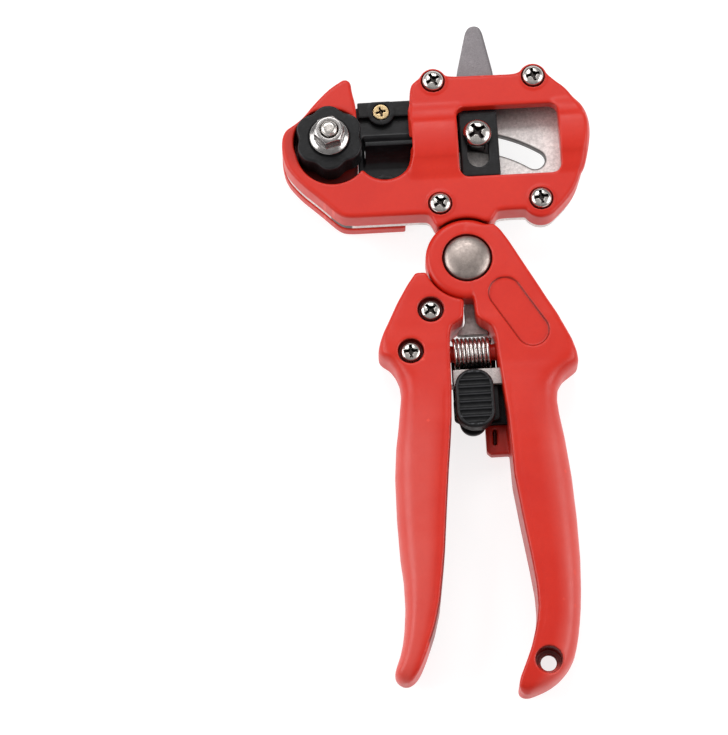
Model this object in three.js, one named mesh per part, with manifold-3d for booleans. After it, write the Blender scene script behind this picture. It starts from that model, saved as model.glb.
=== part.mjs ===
// Grafting knife: a red hand plier that cuts matching notches in two stems for a graft, with a
// bypass pruner on its tip. Millimetres. +Z is the front of the tool, +Y runs to the pruner tip,
// and the origin is on the main pivot axis at the rear face that the tool lies on.
//
// The right handle is one body with the head: a steel frame plate between a front and a rear shell.
// The left handle carries the steel lever behind that plate. A cam screw on the lever runs in an
// arc slot of the plate and in the yoke slot of the slider, so opening the handles draws the
// slider and its folded blade away from the anvil wheel.
import * as THREE from 'three';
import { mergeVertices } from 'three/addons/utils/BufferGeometryUtils.js';
import ManifoldModule from 'manifold-3d';

const wasm = await ManifoldModule();
wasm.setup();

// ---- levels of the stacked layers, from the rear face to the front ----
const REAR_SHELL_TOP = 4.8;
const LEVER_Z = [2.4, 4.8];
const PLATE_Z = [5.1, 7.5];
const STRIP_Z = [7.8, 8.8];
const BLADE_Z = [9.1, 9.9];
const ARM_Z = [10.2, 11.8];
const CHANNEL_TOP = 12.1;
const YOKE_TOP = 13.4;
const SHELL_Z = [7.8, 16];
const BAND_TOP = 18.6;
const GAP = 0.3;

// ---- head ----
const SCREW_AT = [[-6.9, 57.4], [23.7, 57.4], [-7.1, 17.5], [23.5, 17.5]];
const REAR_SCREW_AT = [[-37.3, 54.6], [-33.5, 18.9], [-22.5, 18.4]];
const WHEEL_AT = [-39.5, 39.5];
const WHEEL_RADIUS = 10.4;
const WHEEL_LOBES = 6;
const WHEEL_Z = [10.2, 19.5];
const BOLT_RADIUS = 2.55;
const POCKET_RADIUS = 10.9;
const POCKET_END = [-38.7, 36.6];
const POCKET_FLOOR = 8.8;
const THROAT_AT = [-22.9, 34.8];
const THROAT_RADIUS = 8.3;
const WINDOW = { x0: -0.5, x1: 30.4, y0: 26, y1: 48.6, corner: 2.8 };
const REAR_SHELL_END = -17.6;

// ---- cam drive ----
const CAM_RADIUS = 40.6;
const CAM_ANGLE = 82.1;
const OPENING = 26;
const PIN_RADIUS = 2.5;
const ARC_SLOT_WIDTH = 6.2;
const YOKE_SLOT_WIDTH = 6.5;
const YOKE_X = [0.2, 12];

// ---- blade ----
const BLADE_Y = 37.6;
const ARM_END = -30.3;
const BLADE_X = [-31, -0.9];
const RIDGE_END = -28.8;
const BLADE_HALF = 15.7;
const BLADE_NOTCH = 0.8;
const RIDGE_HALF = 4.8;
const RIDGE_HEIGHT = 7.2;
const HOLE_OFFSET = 12.4;
const HOLE_X = [-23.2, -9.4];
const ARM_WIDTH = 4.9;

// ---- pivot and handles ----
const RING_RADIUS = 12.6;
const HUB_RADIUS = 11.5;
const RIVET_RADIUS = 4;
const RIVET_HEAD = 7.1;
const INNER_SHARE = 0.42;
const INNER_SQUARE = 8;
const GRIP_SCREW_AT = [[-12, -15.8], [-18.7, -28.6]];
const HANG_AT = [15.9, -125.4];
const SPRING_Y = -27.5;
const SPRING_Z = 6.4;
const LATCH_AT = [-0.5, -44.4];
const BACKING_Z = [5.4, 7.2];
const CATCH_Z = [7.8, 9.3];
const GUIDE_Z = [9.6, 11.2];
const BUTTON_Z = [11.5, 15.6];

const rad = THREE.MathUtils.degToRad;
const polar = (r, degrees) => [r * Math.cos(rad(degrees)), r * Math.sin(rad(degrees))];
const CAM_AT = polar(CAM_RADIUS, CAM_ANGLE);

// ---- solids ----

// Turns a closed three.js geometry into a solid for joining and cutting.
function solid(geometry) {
  const bare = geometry.clone();
  bare.deleteAttribute('normal');
  bare.deleteAttribute('uv');
  const merged = mergeVertices(bare, 1e-4);
  const index = [];
  for (let i = 0; i < merged.index.count; i += 3) {
    const [a, b, c] = [0, 1, 2].map((k) => merged.index.getX(i + k));
    if (a !== b && b !== c && c !== a) index.push(a, b, c);
  }
  return new wasm.Manifold(new wasm.Mesh({
    numProp: 3,
    vertProperties: Float32Array.from(merged.attributes.position.array),
    triVerts: Uint32Array.from(index),
  }));
}

function toGeometry(body) {
  const mesh = body.getMesh();
  const geometry = new THREE.BufferGeometry();
  geometry.setAttribute('position', new THREE.BufferAttribute(mesh.vertProperties, 3));
  geometry.setIndex(new THREE.BufferAttribute(mesh.triVerts, 1));
  geometry.computeVertexNormals();
  return geometry;
}

const join = (...bodies) => bodies.reduce((a, b) => a.add(b));
const cut = (body, ...tools) => tools.reduce((a, b) => a.subtract(b), body);

function shapeOf(points) {
  return new THREE.Shape(points.map(([x, y]) => new THREE.Vector2(x, y)));
}

// A straight-sided slab between two levels.
function prism(outline, z0, z1) {
  const shape = Array.isArray(outline) ? shapeOf(outline) : outline;
  const options = { depth: z1 - z0, bevelEnabled: false, curveSegments: 4 };
  return solid(new THREE.ExtrudeGeometry(shape, options).translate(0, 0, z0));
}

// A slab whose front edge, rear edge or both are rounded over.
function softSlab(outline, z0, z1, edge, front = true, rear = false) {
  const low = rear ? z0 : z0 - 2 * edge;
  const high = front ? z1 : z1 + 2 * edge;
  const options = {
    depth: high - low - 2 * edge, bevelThickness: edge, bevelSize: edge, bevelOffset: -edge,
    bevelSegments: 1,
  };
  const body = solid(new THREE.ExtrudeGeometry(shapeOf(outline), options).translate(0, 0, low + edge));
  return body.intersect(box(-200, 200, -200, 200, z0, z1));
}

function box(x0, x1, y0, y1, z0, z1) {
  const geometry = new THREE.BoxGeometry(x1 - x0, y1 - y0, z1 - z0);
  return solid(geometry.translate((x0 + x1) / 2, (y0 + y1) / 2, (z0 + z1) / 2));
}

function disc([x, y], radius, z0, z1, sides = 32) {
  const geometry = new THREE.CylinderGeometry(radius, radius, z1 - z0, sides);
  return solid(geometry.rotateX(Math.PI / 2).translate(x, y, (z0 + z1) / 2));
}

// A round rod along X.
function rod(x0, x1, y, z, radius, sides = 16) {
  const geometry = new THREE.CylinderGeometry(radius, radius, x1 - x0, sides);
  return solid(geometry.rotateZ(Math.PI / 2).translate((x0 + x1) / 2, y, z));
}

// A turned piece about a line along Z. The profile lists radius and height.
function turned([x, y], profile, sides = 28) {
  const points = profile.map(([r, z]) => new THREE.Vector2(r, z));
  return solid(new THREE.LatheGeometry(points, sides).rotateX(Math.PI / 2).translate(x, y, 0));
}

// A slot with round ends from one centre to the other.
function slot([ax, ay], [bx, by], radius, z0, z1, steps = 6) {
  const turn = THREE.MathUtils.radToDeg(Math.atan2(by - ay, bx - ax));
  return prism([
    ...arcPoints([bx, by], radius, turn - 90, turn + 90, steps),
    ...arcPoints([ax, ay], radius, turn + 90, turn + 270, steps),
  ], z0, z1);
}

function arcPoints([x, y], radius, from, to, steps) {
  return Array.from({ length: steps + 1 }, (_, i) => {
    const [dx, dy] = polar(radius, from + (to - from) * i / steps);
    return [x + dx, y + dy];
  });
}

function roundedBox(x0, x1, y0, y1, r) {
  return [
    ...arcPoints([x1 - r, y0 + r], r, -90, 0, 4), ...arcPoints([x1 - r, y1 - r], r, 0, 90, 4),
    ...arcPoints([x0 + r, y1 - r], r, 90, 180, 4), ...arcPoints([x0 + r, y0 + r], r, 180, 270, 4),
  ];
}

// Moves every edge of a closed outline, listed anticlockwise, outwards by the same distance.
function grow(points, distance) {
  return points.map((p, i) => {
    const before = points[(i + points.length - 1) % points.length];
    const after = points[(i + 1) % points.length];
    const [ax, ay] = [p[0] - before[0], p[1] - before[1]];
    const [bx, by] = [after[0] - p[0], after[1] - p[1]];
    const [al, bl] = [Math.hypot(ax, ay), Math.hypot(bx, by)];
    const n = [ay / al + by / bl, -ax / al - bx / bl];
    const scale = distance * 2 / Math.max(n[0] ** 2 + n[1] ** 2, 0.9);
    return [p[0] + n[0] * scale, p[1] + n[1] * scale];
  });
}

// A hand grip: rounded sections stacked along Y. Each row gives y, left x, right x, the rear and
// front levels, and how square the outer side is. The inner side is square all the way down.
function gripBody(rows, innerIsLeft) {
  const ring = new THREE.Shape().absarc(0, 0, 1, 0, Math.PI * 2);
  const geometry = new THREE.ExtrudeGeometry(ring, {
    depth: rows.length - 1, steps: rows.length - 1, bevelEnabled: false, curveSegments: 9,
  });
  const place = geometry.attributes.position;
  for (let i = 0; i < place.count; i++) {
    const [y, x0, x1, z0, z1, outer] = rows[Math.round(place.getZ(i))];
    const [u, v] = [place.getX(i), place.getY(i)];
    const middle = x0 + (x1 - x0) * (innerIsLeft ? INNER_SHARE : 1 - INNER_SHARE);
    const square = u < 0 === innerIsLeft ? Math.max(outer, INNER_SQUARE) : outer;
    const round = (w) => Math.sign(w) * Math.abs(w) ** (2 / square);
    const x = middle + (u < 0 ? middle - x0 : x1 - middle) * round(u);
    const z = (z0 + z1) / 2 + (z1 - z0) / 2 * round(v);
    place.setXYZ(i, x, y, z);
  }
  return solid(geometry);
}

// ---- outlines ----

// The head seen from the front, anticlockwise from its lower left.
function headOutline() {
  return [
    [-37.6, 15.4], [-34.9, 14.6], [-11.4, 14.6], [-10.1, 13.6], [-9.1, 11.2], [-8.6, 10.4],
    [0, 10.4], [7, 11.2], [8.4, 11.7], [9.4, 13.4], [10.4, 14.6], [18.4, 14.6],
    ...arcPoints([23.5, 17.3], 5.6, 212, 318, 5),
    [30.8, 16.5], [34.2, 20.8], [37.1, 28.6], [38.8, 35.3], [39.3, 40], [38.8, 44],
    [37.5, 47], [35.6, 50.2], [33.3, 53.6], [30.4, 56],
    ...arcPoints([23.7, 57.4], 4.4, 15, 150, 6),
    [18, 58.8], [-1, 59],
    ...arcPoints([-6.9, 57.4], 4.2, 30, 155, 6),
    [-12.4, 58], [-14, 56.4], [-14.6, 50],
    ...arcPoints(THROAT_AT, THROAT_RADIUS, 0, -138, 10),
    [-31, 31], [-30.8, 51], [-31.7, 55.3],
    ...arcPoints([-33.8, 57.8], 1.9, 0, 125, 4),
    [-38.7, 57], [-43.3, 52.5], [-47.3, 47.7], [-50.5, 45.4], [-52.7, 44.1],
    [-53.9, 41.2], [-54, 37.1], [-53, 31.8], [-48.9, 26.4], [-43.3, 21.2],
  ];
}

// The steel frame below the head: the neck, the pivot eye and the tang inside the right grip.
function frameTang() {
  return [
    [-2.5, 18], [-4.5, 12], ...arcPoints([0, 0], HUB_RADIUS, 112, 250, 10),
    [-1.7, -12], [-1.6, -18.6], [-4.2, -21], [-4.2, -22], [5.2, -22], [5, -20.8],
    [2.4, -17.2], [8.6, -17.6], [12.5, -28], [13.2, -45], [14.5, -62], [19.5, -62],
    [20.5, -45], [21.5, -30], [16, -15], ...arcPoints([0, 0], HUB_RADIUS, -32, 42, 6),
    [10.2, 18],
  ];
}

// The moving lever: the pruning blade above the pivot eye and the tang inside the left grip.
function leverOutline() {
  return [
    [8.4, 79.6], [6.4, 79.6], [3.4, 66], [1.4, 48], [-0.6, 34], [-3.6, 20], [-6, 11],
    ...arcPoints([0, 0], HUB_RADIUS, 122, 190, 6),
    [-16.5, -8], [-21.5, -19], [-22.3, -30], [-19.3, -40], [-19.8, -62], [-15.5, -62],
    [-12.2, -42], [-11.5, -28], [-10, -14],
    ...arcPoints([0, 0], HUB_RADIUS, 244, 412, 14),
    [9.8, 18], [11.2, 36], [11.3, 52], [10.6, 66],
  ];
}

function arcSlot(z0, z1) {
  const half = ARC_SLOT_WIDTH / 2;
  const [from, to] = [CAM_ANGLE - OPENING - 0.6, CAM_ANGLE + 0.6];
  const end = polar(CAM_RADIUS, from);
  const start = polar(CAM_RADIUS, to);
  return prism([
    ...arcPoints([0, 0], CAM_RADIUS + half, from, to, 10),
    ...arcPoints(start, half, to, to + 180, 6).slice(1, -1),
    ...arcPoints([0, 0], CAM_RADIUS - half, to, from, 10),
    ...arcPoints(end, half, from + 180, from + 360, 6).slice(1, -1),
  ], z0, z1);
}

// ---- head pieces ----

// A bar along X whose section is a shape of Y and Z.
function acrossHead(shape, x0, x1) {
  const geometry = new THREE.ExtrudeGeometry(shape, { depth: x1 - x0, bevelEnabled: false });
  geometry.applyMatrix4(new THREE.Matrix4().makeBasis(
    new THREE.Vector3(0, 1, 0), new THREE.Vector3(0, 0, 1), new THREE.Vector3(1, 0, 0)));
  return solid(geometry.translate(x0, 0, 0));
}

function frontShell() {
  const [bottom, top] = SHELL_Z;
  const bandSide = shapeOf([
    [28.2, 15], [28.2, 16], [30.2, 17], [32, BAND_TOP], [44.2, BAND_TOP], [46, 17], [48, 16], [48, 15],
  ]);
  const bands = [[-15, 0.3], [29.6, 40]].map(([x0, x1]) => acrossHead(bandSide, x0, x1));
  const raised = join(...bands).intersect(softSlab(headOutline(), bottom, BAND_TOP, 1.1));
  const pads = SCREW_AT.map((at) => disc(at, 4.1, top - 1, top + 0.4, 24));
  const body = join(softSlab(headOutline(), bottom, top, 1.1), raised, ...pads);
  const w = WINDOW;
  const lip = BLADE_HALF + 0.4;
  return cut(
    body,
    disc([0, 0], RING_RADIUS + 0.4, 0, 30, 60),
    cut(slot(WHEEL_AT, POCKET_END, POCKET_RADIUS, POCKET_FLOOR, 30, 12),
      disc(WHEEL_AT, 5, 0, WHEEL_Z[0] - GAP, 28)),
    prism(roundedBox(w.x0, w.x1, w.y0, w.y1, w.corner), 0, 30),
    box(-31.3, 30.8, BLADE_Y - lip, BLADE_Y + lip, bottom - 1, CHANNEL_TOP),
    ridgeTunnel(),
    ...SCREW_AT.map((at) => disc(at, 1.8, 0, 30, 16)),
    ...SCREW_AT.map((at) => disc(at, 3.6, top - 0.6, 30, 24)),
    ...REAR_SCREW_AT.map((at) => disc(at, 1.6, 0, 12.4, 12)),
    disc(WHEEL_AT, BOLT_RADIUS + GAP, 0, 30, 20),
  );
}

// The blade's folded section, seen along X: two flanges and a slender hollow ridge.
function ridgeSide(halfFoot, foot, crest, halfCrest) {
  const steps = 6;
  const flank = Array.from({ length: steps + 1 }, (_, i) => {
    const t = i / steps;
    return [halfFoot + (halfCrest - halfFoot) * (1 - (1 - t) ** 2.2), foot + (crest - foot) * t];
  });
  return [...flank, ...flank.map(([y, z]) => [-y, z]).reverse()];
}

function alongX(side, x0, x1) {
  return acrossHead(shapeOf(side.map(([y, z]) => [y + BLADE_Y, z])), x0, x1);
}

function ridgeTunnel() {
  return alongX(ridgeSide(RIDGE_HALF + 1.2, CHANNEL_TOP - 0.2, BAND_TOP - 0.9, 1.5), -20, 1);
}

function rearShell() {
  const left = softSlab(headOutline(), 0, REAR_SHELL_TOP, 1.1, false, true)
    .intersect(box(-80, REAR_SHELL_END, 0, 80, -1, 30));
  return cut(
    left,
    disc(WHEEL_AT, BOLT_RADIUS + GAP, -1, 9, 20),
    disc(WHEEL_AT, 6.1, -1, 3.9, 6),
    ...REAR_SCREW_AT.map((at) => disc(at, 1.6, -1, 9, 12)),
    ...REAR_SCREW_AT.map((at) => disc(at, 3.1, -1, 2.2, 20)),
  );
}

function framePlate() {
  const [low, high] = PLATE_Z;
  const tip = prism([
    [-0.2, 55], [12.6, 55], [12, 63.4], [9.6, 76.6], [8.4, 78.6], [5.8, 78.6], [4.4, 76.8],
    [1, 63.4],
  ], low, high);
  const grind = solid(new THREE.BoxGeometry(4, 30, 4).translate(2, 0, 0)
    .rotateY(rad(38)).rotateZ(rad(10.5)).translate(10.6, 70, high + 0.2));
  const body = join(
    prism(grow(headOutline(), -0.35), low, high), cut(tip, grind),
    prism(frameTang(), low, high));
  return cut(
    body, arcSlot(0, 20),
    disc([0, 0], RIVET_RADIUS + GAP, 0, 20, 24),
    disc(WHEEL_AT, BOLT_RADIUS + GAP, 0, 20, 20),
    ...SCREW_AT.map((at) => disc(at, 1.8, 0, 20, 12)),
    ...REAR_SCREW_AT.map((at) => disc(at, 1.6, 0, 20, 12)),
  );
}

function moveableLever() {
  const [low, high] = LEVER_Z;
  const edge = solid(new THREE.BoxGeometry(5, 40, 4).translate(-2.5, 0, 0)
    .rotateY(rad(-35)).rotateZ(rad(8.5 - 16)).translate(3.9, 66, low - 0.4));
  return cut(
    prism(leverOutline(), low, high), edge,
    disc([0, 0], RIVET_RADIUS + GAP, 0, 20, 24),
    disc(CAM_AT, 2.8, 0, 20, 16),
    ...GRIP_SCREW_AT.map((at) => disc(at, 1.9, 0, 20, 12)),
  );
}

// ---- fasteners ----

function crossRecess([x, y], top, size, depth) {
  const width = size * 0.28;
  return [
    box(x - size, x + size, y - width, y + width, top - depth, top + 3),
    box(x - width, x + width, y - size, y + size, top - depth, top + 3),
  ];
}

function panScrew(at, seat, head, height, shank, end) {
  const body = turned(at, [
    [0, end], [shank, end], [shank, seat], [head, seat], [head, seat + height * 0.35],
    [head * 0.8, seat + height * 0.82], [0, seat + height],
  ], 18);
  return cut(body, ...crossRecess(at, seat + height, head * 0.52, height * 0.65));
}

function flatScrew(at, top, head, shank, end) {
  const body = turned(at, [
    [0, end], [shank, end], [shank, top - 1], [head, top - 0.15], [head, top], [0, top],
  ], 20);
  return cut(body, ...crossRecess(at, top, head * 0.5, 0.7));
}

function anvilBolt() {
  const shank = turned(WHEEL_AT, [
    [0, 2], [BOLT_RADIUS, 2], [BOLT_RADIUS, 26.5], [BOLT_RADIUS - 0.8, 27.5], [0, 27.5],
  ]);
  return join(shank, disc(WHEEL_AT, 5.6, 0.4, 3.6, 6));
}

function anvilNut() {
  const hex = disc(WHEEL_AT, 4.7, 20.6, 26, 6)
    .intersect(turned(WHEEL_AT, [[0, 20], [4.9, 20], [4.9, 24.8], [3.6, 26.2], [0, 26.2]], 24));
  const flange = turned(WHEEL_AT, [[0, 19.8], [6, 19.8], [6, 20.5], [4.8, 21.3], [0, 21.3]]);
  return cut(join(hex, flange), disc(WHEEL_AT, BOLT_RADIUS + GAP, 0, 40, 20));
}

function anvilWheel() {
  const steps = WHEEL_LOBES * 6;
  const outline = Array.from({ length: steps }, (_, i) => {
    const r = WHEEL_RADIUS - 0.6 + 0.6 * Math.cos(rad(WHEEL_LOBES * 360 * i / steps));
    const [x, y] = polar(r, 90 + 360 * i / steps);
    return [WHEEL_AT[0] + x, WHEEL_AT[1] + y];
  });
  return cut(
    softSlab(outline, ...WHEEL_Z, 0.7, true, true),
    disc(WHEEL_AT, BOLT_RADIUS + GAP, 0, 40, 20),
  );
}

// ---- slider, blade and cam ----

function slider() {
  const arm = (side) => {
    const outer = BLADE_Y + side * BLADE_HALF;
    const inner = BLADE_Y + side * (BLADE_HALF - ARM_WIDTH);
    const bar = box(ARM_END, YOKE_X[0] + 1, Math.min(outer, inner), Math.max(outer, inner), ...ARM_Z);
    const bosses = HOLE_X.map((x) => disc([x, BLADE_Y + side * HOLE_OFFSET], 4.2, ...ARM_Z, 28))
      .map((b) => b.intersect(box(-40, 5, BLADE_Y - BLADE_HALF, BLADE_Y + BLADE_HALF, 0, 30)));
    return join(bar, ...bosses);
  };
  const base = box(...YOKE_X, BLADE_Y - BLADE_HALF, BLADE_Y + BLADE_HALF, STRIP_Z[0], ARM_Z[1]);
  const raised = softSlab(
    roundedBox(YOKE_X[0], YOKE_X[1], 26.7, 47.9, 0.8), ARM_Z[1] - 1, YOKE_TOP, 0.5);
  const [x] = CAM_AT;
  const low = CAM_RADIUS * Math.sin(rad(CAM_ANGLE - OPENING));
  const screws = [1, -1].flatMap((side) => HOLE_X.map((hx) => [hx, BLADE_Y + side * HOLE_OFFSET]));
  return cut(
    join(base, raised, arm(1), arm(-1)),
    slot([x, low - 0.6], [x, CAM_AT[1] + 0.6], YOKE_SLOT_WIDTH / 2, 0, 30),
    ...screws.map((at) => turned(at, [
      [0, 0], [1.6, 0], [1.6, ARM_Z[1] - 1.25], [2.75, ARM_Z[1] - 0.2], [2.75, 30], [0, 30],
    ], 20)),
  );
}

function graftingBlade() {
  const [low, high] = BLADE_Z;
  const [x0, x1] = BLADE_X;
  const outer = ridgeSide(RIDGE_HALF, high - 0.01, high + RIDGE_HEIGHT, 0.7);
  const inner = ridgeSide(RIDGE_HALF - 0.9, low - 0.2, high + RIDGE_HEIGHT - 1.2, 0.15);
  const sheet = box(x0, x1, BLADE_Y - BLADE_HALF, BLADE_Y + BLADE_HALF, low, high);
  const corner = (x, side) => box(
    x - BLADE_NOTCH, x + BLADE_NOTCH, BLADE_Y + side * BLADE_HALF - 4.4,
    BLADE_Y + side * BLADE_HALF + 4.4, 0, 30);
  return cut(
    join(sheet, alongX(outer, RIDGE_END, x1)), alongX(inner, RIDGE_END, x1 + 1),
    ...BLADE_X.flatMap((x) => [corner(x, 1), corner(x, -1)]),
    ...HOLE_X.flatMap((x) => [1, -1].map((s) => disc([x, BLADE_Y + s * HOLE_OFFSET], 1.6, 0, 30, 16))),
  );
}

function clampStrip(side) {
  const [near, far] = [side * 1.2, side * 15.3].sort((a, b) => a - b);
  return cut(
    prism(roundedBox(BLADE_X[0], -1.2, BLADE_Y + near, BLADE_Y + far, 1), ...STRIP_Z),
    ...HOLE_X.map((x) => disc([x, BLADE_Y + side * HOLE_OFFSET], 1.6, 0, 30, 16)),
  );
}

function camBush() {
  return cut(disc(CAM_AT, PIN_RADIUS, LEVER_Z[0], YOKE_TOP + 0.1, 24), disc(CAM_AT, 1.95, 0, 30, 20));
}

function camNut() {
  return cut(disc(CAM_AT, 3.6, 0.4, 2.1, 6), disc(CAM_AT, 1.95, 0, 30, 20));
}

// ---- handles ----

function rightGrip() {
  const rows = [
    [10.6, 0, 8.6, 0.2, 15.4, 9], [9, -0.6, 10.4, 0.2, 15.4, 9], [5, -1, 12.9, 0.1, 15.5, 9],
    [-3, 0, 17.2, 0, 15.7, 9], [-11, 0.6, 21.6, 0, 15.8, 8], [-13.5, 1.2, 22.9, 0, 15.8, 8],
    [-18, 1.4, 25.4, 0, 15.9, 8], [-19.7, 2.3, 26.3, 0, 16, 8], [-20.8, 4.3, 26.8, 0, 16, 7],
    [-22, 5.9, 27.4, 0, 16, 7], [-24.4, 6.7, 28.5, 0, 16, 7], [-27, 7, 29.7, 0, 16, 7],
    [-31, 7.2, 31, 0, 16, 6], [-34, 7.5, 31.4, 0, 16, 5], [-35.3, 7.6, 29.7, 0, 16.1, 4],
    [-37.8, 7.8, 26.4, 0, 16.2, 3.6], [-41, 8.1, 24.6, 0, 16.4, 3.2], [-45, 8.4, 24.1, 0, 16.6, 3],
    [-49.5, 8.8, 24.5, 0, 16.8, 2.8], [-57, 9.1, 25.6, 0, 17, 2.6], [-69, 9.4, 26.8, 0, 17, 2.5],
    [-82, 11, 27.4, 0, 17, 2.5], [-94.4, 12.7, 27.5, 0, 16.8, 2.5],
    [-103, 13.7, 27.1, 0, 16.5, 2.6], [-109, 13.8, 26.6, 0, 16.2, 2.7],
    [-113.5, 13.2, 26, 0, 16, 2.8], [-117.6, 12.1, 25.3, 0, 15.8, 2.9],
    [-121, 11.1, 24.5, 0.1, 15.6, 2.9], [-124, 9.9, 23.6, 0.2, 15.4, 2.8],
    [-127, 8.6, 21.9, 0.5, 15.1, 3.3], [-130, 7.2, 19.2, 1, 14.6, 3.1],
    [-132.2, 6.7, 16.2, 1.8, 14, 2.9], [-133.8, 7.2, 12.6, 3.2, 13, 2.6], [-134.6, 8.2, 10.4, 5, 11, 2.2],
  ];
  const body = join(
    gripBody(rows, true), disc([0, 0], RING_RADIUS, 7.8, 15.4, 48),
    prism([[3.6, -59.1], [12, -59.1], [12, -49.5], [2.4, -49.5], [2.4, -57.9]], 1.2, 4.6),
    rod(3.2, 9, SPRING_Y, SPRING_Z, 2.5),
  );
  return cut(
    body,
    disc([0, 0], HUB_RADIUS + 1.2, -1, PLATE_Z[1] + GAP, 40),
    box(-30, 40, -8, 30, -1, PLATE_Z[1] + GAP),
    prism(grow(frameTang(), 0.35), PLATE_Z[0] - GAP, PLATE_Z[1] + GAP),
    disc([0, 0], RIVET_HEAD + 0.4, 14, 30, 40),
    disc([0, 0], RIVET_RADIUS + GAP, 0, 30, 24),
    slot([10.6, -11.9], [18, -24.1], 5, 15.2, 30),
    turned(HANG_AT, [[0, -1], [2.35, -1], [2.35, 10.7], [3.9, 10.7], [3.9, 30], [0, 30]], 24),
    slot([16.4, -121.6], [13.4, -127.6], 3.6, -1, 9.2),
    slot([5.2, -51.8], [5, -55.6], 0.55, 2.4, 6),
    latchSeat(GAP), latchBacking(GAP),
  );
}

function leftGrip() {
  const rows = [
    [-3.8, -15.9, -9, 0.2, 15.2, 9], [-7.4, -18.6, -3, 0, 15.3, 9], [-13, -22, -1.9, 0, 15.3, 8],
    [-18.8, -24.9, -2.3, 0, 15.4, 8], [-20.1, -25.6, -4.4, 0, 15.4, 7],
    [-21.1, -26.2, -6.2, 0, 15.4, 7], [-24.3, -27.6, -6.8, 0, 15.5, 6], [-26.9, -28.4, -6.9, 0, 15.6, 5],
    [-28.8, -28.2, -7, 0, 15.6, 5], [-30.6, -25.5, -7.1, 0, 15.7, 4.6],
    [-33.3, -23.7, -7.1, 0, 15.8, 4.2], [-36.8, -22.6, -7.2, 0, 16, 3.2],
    [-40.7, -22.3, -7.3, 0, 16.2, 3], [-50.8, -23.7, -7.9, 0, 16.6, 2.7],
    [-57.4, -24.8, -8.6, 0, 16.6, 2.6], [-66.3, -25.6, -9.7, 0, 16.6, 2.5],
    [-79, -25.8, -11.1, 0, 16.5, 2.5], [-91.4, -25.5, -12.4, 0, 16.3, 2.5],
    [-98.2, -24.9, -13.4, 0, 16, 2.6], [-106.4, -24.9, -14.7, 0, 15.8, 2.7],
    [-113.2, -25.6, -16.5, 0.1, 15.6, 2.7], [-117.2, -26.3, -18, 0.2, 15.4, 2.6],
    [-120.6, -27.2, -19.3, 0.5, 15.1, 2.5], [-124.4, -28.7, -21, 1, 14.6, 2.4],
    [-126.2, -29.2, -22, 1.6, 14.1, 2.8], [-127.9, -28.8, -23.2, 2.8, 13.2, 2.6],
    [-129.3, -27.4, -24.8, 4.6, 11.6, 2.2],
  ];
  const body = join(
    gripBody(rows, false),
    rod(-9, -3.2, SPRING_Y, SPRING_Z, 2.5),
  );
  const z = 13.2;
  return cut(
    body,
    disc([0, 0], RING_RADIUS + 0.6, -1, 30, 48),
    prism(grow(leverOutline(), 0.35), LEVER_Z[0] - GAP, LEVER_Z[1] + GAP),
    ...GRIP_SCREW_AT.map((at) => turned(at, [
      [0, 1], [1.8, 1], [1.8, z - GAP], [3.9, z - GAP], [3.9, 30], [0, 30],
    ], 24)),
    box(-10.4, 0, -39.6, -37.5, CATCH_Z[0] - GAP, CATCH_Z[1] + GAP),
  );
}

// ---- spring and latch ----

class Helix extends THREE.Curve {
  constructor(radius, length, turns) {
    super();
    Object.assign(this, { radius, length, turns });
  }

  getPoint(t) {
    const angle = t * this.turns * Math.PI * 2;
    const r = this.radius;
    return new THREE.Vector3((t - 0.5) * this.length, r * Math.cos(angle), r * Math.sin(angle));
  }
}

function returnSpring() {
  const wire = new THREE.Shape().absarc(0, 0, 0.55, 0, Math.PI * 2);
  const geometry = new THREE.ExtrudeGeometry(wire, {
    steps: 9 * 10, extrudePath: new Helix(4.25, 11.2, 9), curveSegments: 3, bevelEnabled: false,
  });
  return solid(geometry.translate(-0.1, SPRING_Y, SPRING_Z));
}

// The latch's steel guide: a tongue from the right grip with a slot for the latch's stud.
function latchSeat(extra) {
  return box(-6.5, 14 + extra, -39 - extra, -34 + extra, GUIDE_Z[0] - extra, GUIDE_Z[1] + extra);
}

function latchGuide() {
  const [x, y] = LATCH_AT;
  const leg = box(x - 3.4, x + 3.4, y - 7, y + 6, ...GUIDE_Z);
  return cut(join(latchSeat(0), leg), slot([x, y - 0.5], [x, y + 3.5], 1.7, 0, 20));
}

function latchButton() {
  const [x, y] = LATCH_AT;
  const [low, high] = BUTTON_Z;
  const outline = roundedBox(x - 5.8, x + 5.8, y - 9.2, y + 9.2, 5.4);
  const grooves = Array.from({ length: 7 }, (_, i) => (
    rod(x - 8, x + 8, y + (i - 3) * 2.3, high, 0.55, 8)));
  return cut(softSlab(outline, low, high, 1), ...grooves, disc([x, y], 1.55, 0, 13, 16));
}

// The black plate behind the latch, held in a pocket of the right grip.
function latchBacking(extra) {
  return prism(grow([
    [-3.4, -50.4], [10.4, -50.4], [10.4, -33.6], [-6.6, -33.6], [-6.6, -47.2],
  ], extra), BACKING_Z[0] - extra, BACKING_Z[1] + extra);
}

// A thin shelf behind the return spring, hung from the backing plate's upper edge.
function springShelf() {
  return join(
    box(-6.2, 6.8, -34.6, -33.6, 0.2, BACKING_Z[1]),
    box(-6.2, 6.8, -34.6, -24, 0.2, 1.2),
  );
}

// The stud and the hook plate behind the guide. Pushed up, its finger passes behind the catch's lip.
function latchHook() {
  const [x, y] = LATCH_AT;
  const plate = prism([
    [x - 6.3, y - 5], ...arcPoints([x - 0.8, y - 5.8], 4, 180, 360, 6), [x + 7.5, y - 5],
    [x + 7.5, y + 6], [x - 2, y + 6], [x - 2, y - 1.6], [x - 4.3, y - 1.6], [x - 4.3, y + 1.7],
    [x - 6.3, y + 1.7],
  ], ...CATCH_Z);
  return join(plate, disc([x, y], 1.25, CATCH_Z[0] + 0.5, 12.7, 16));
}

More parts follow.
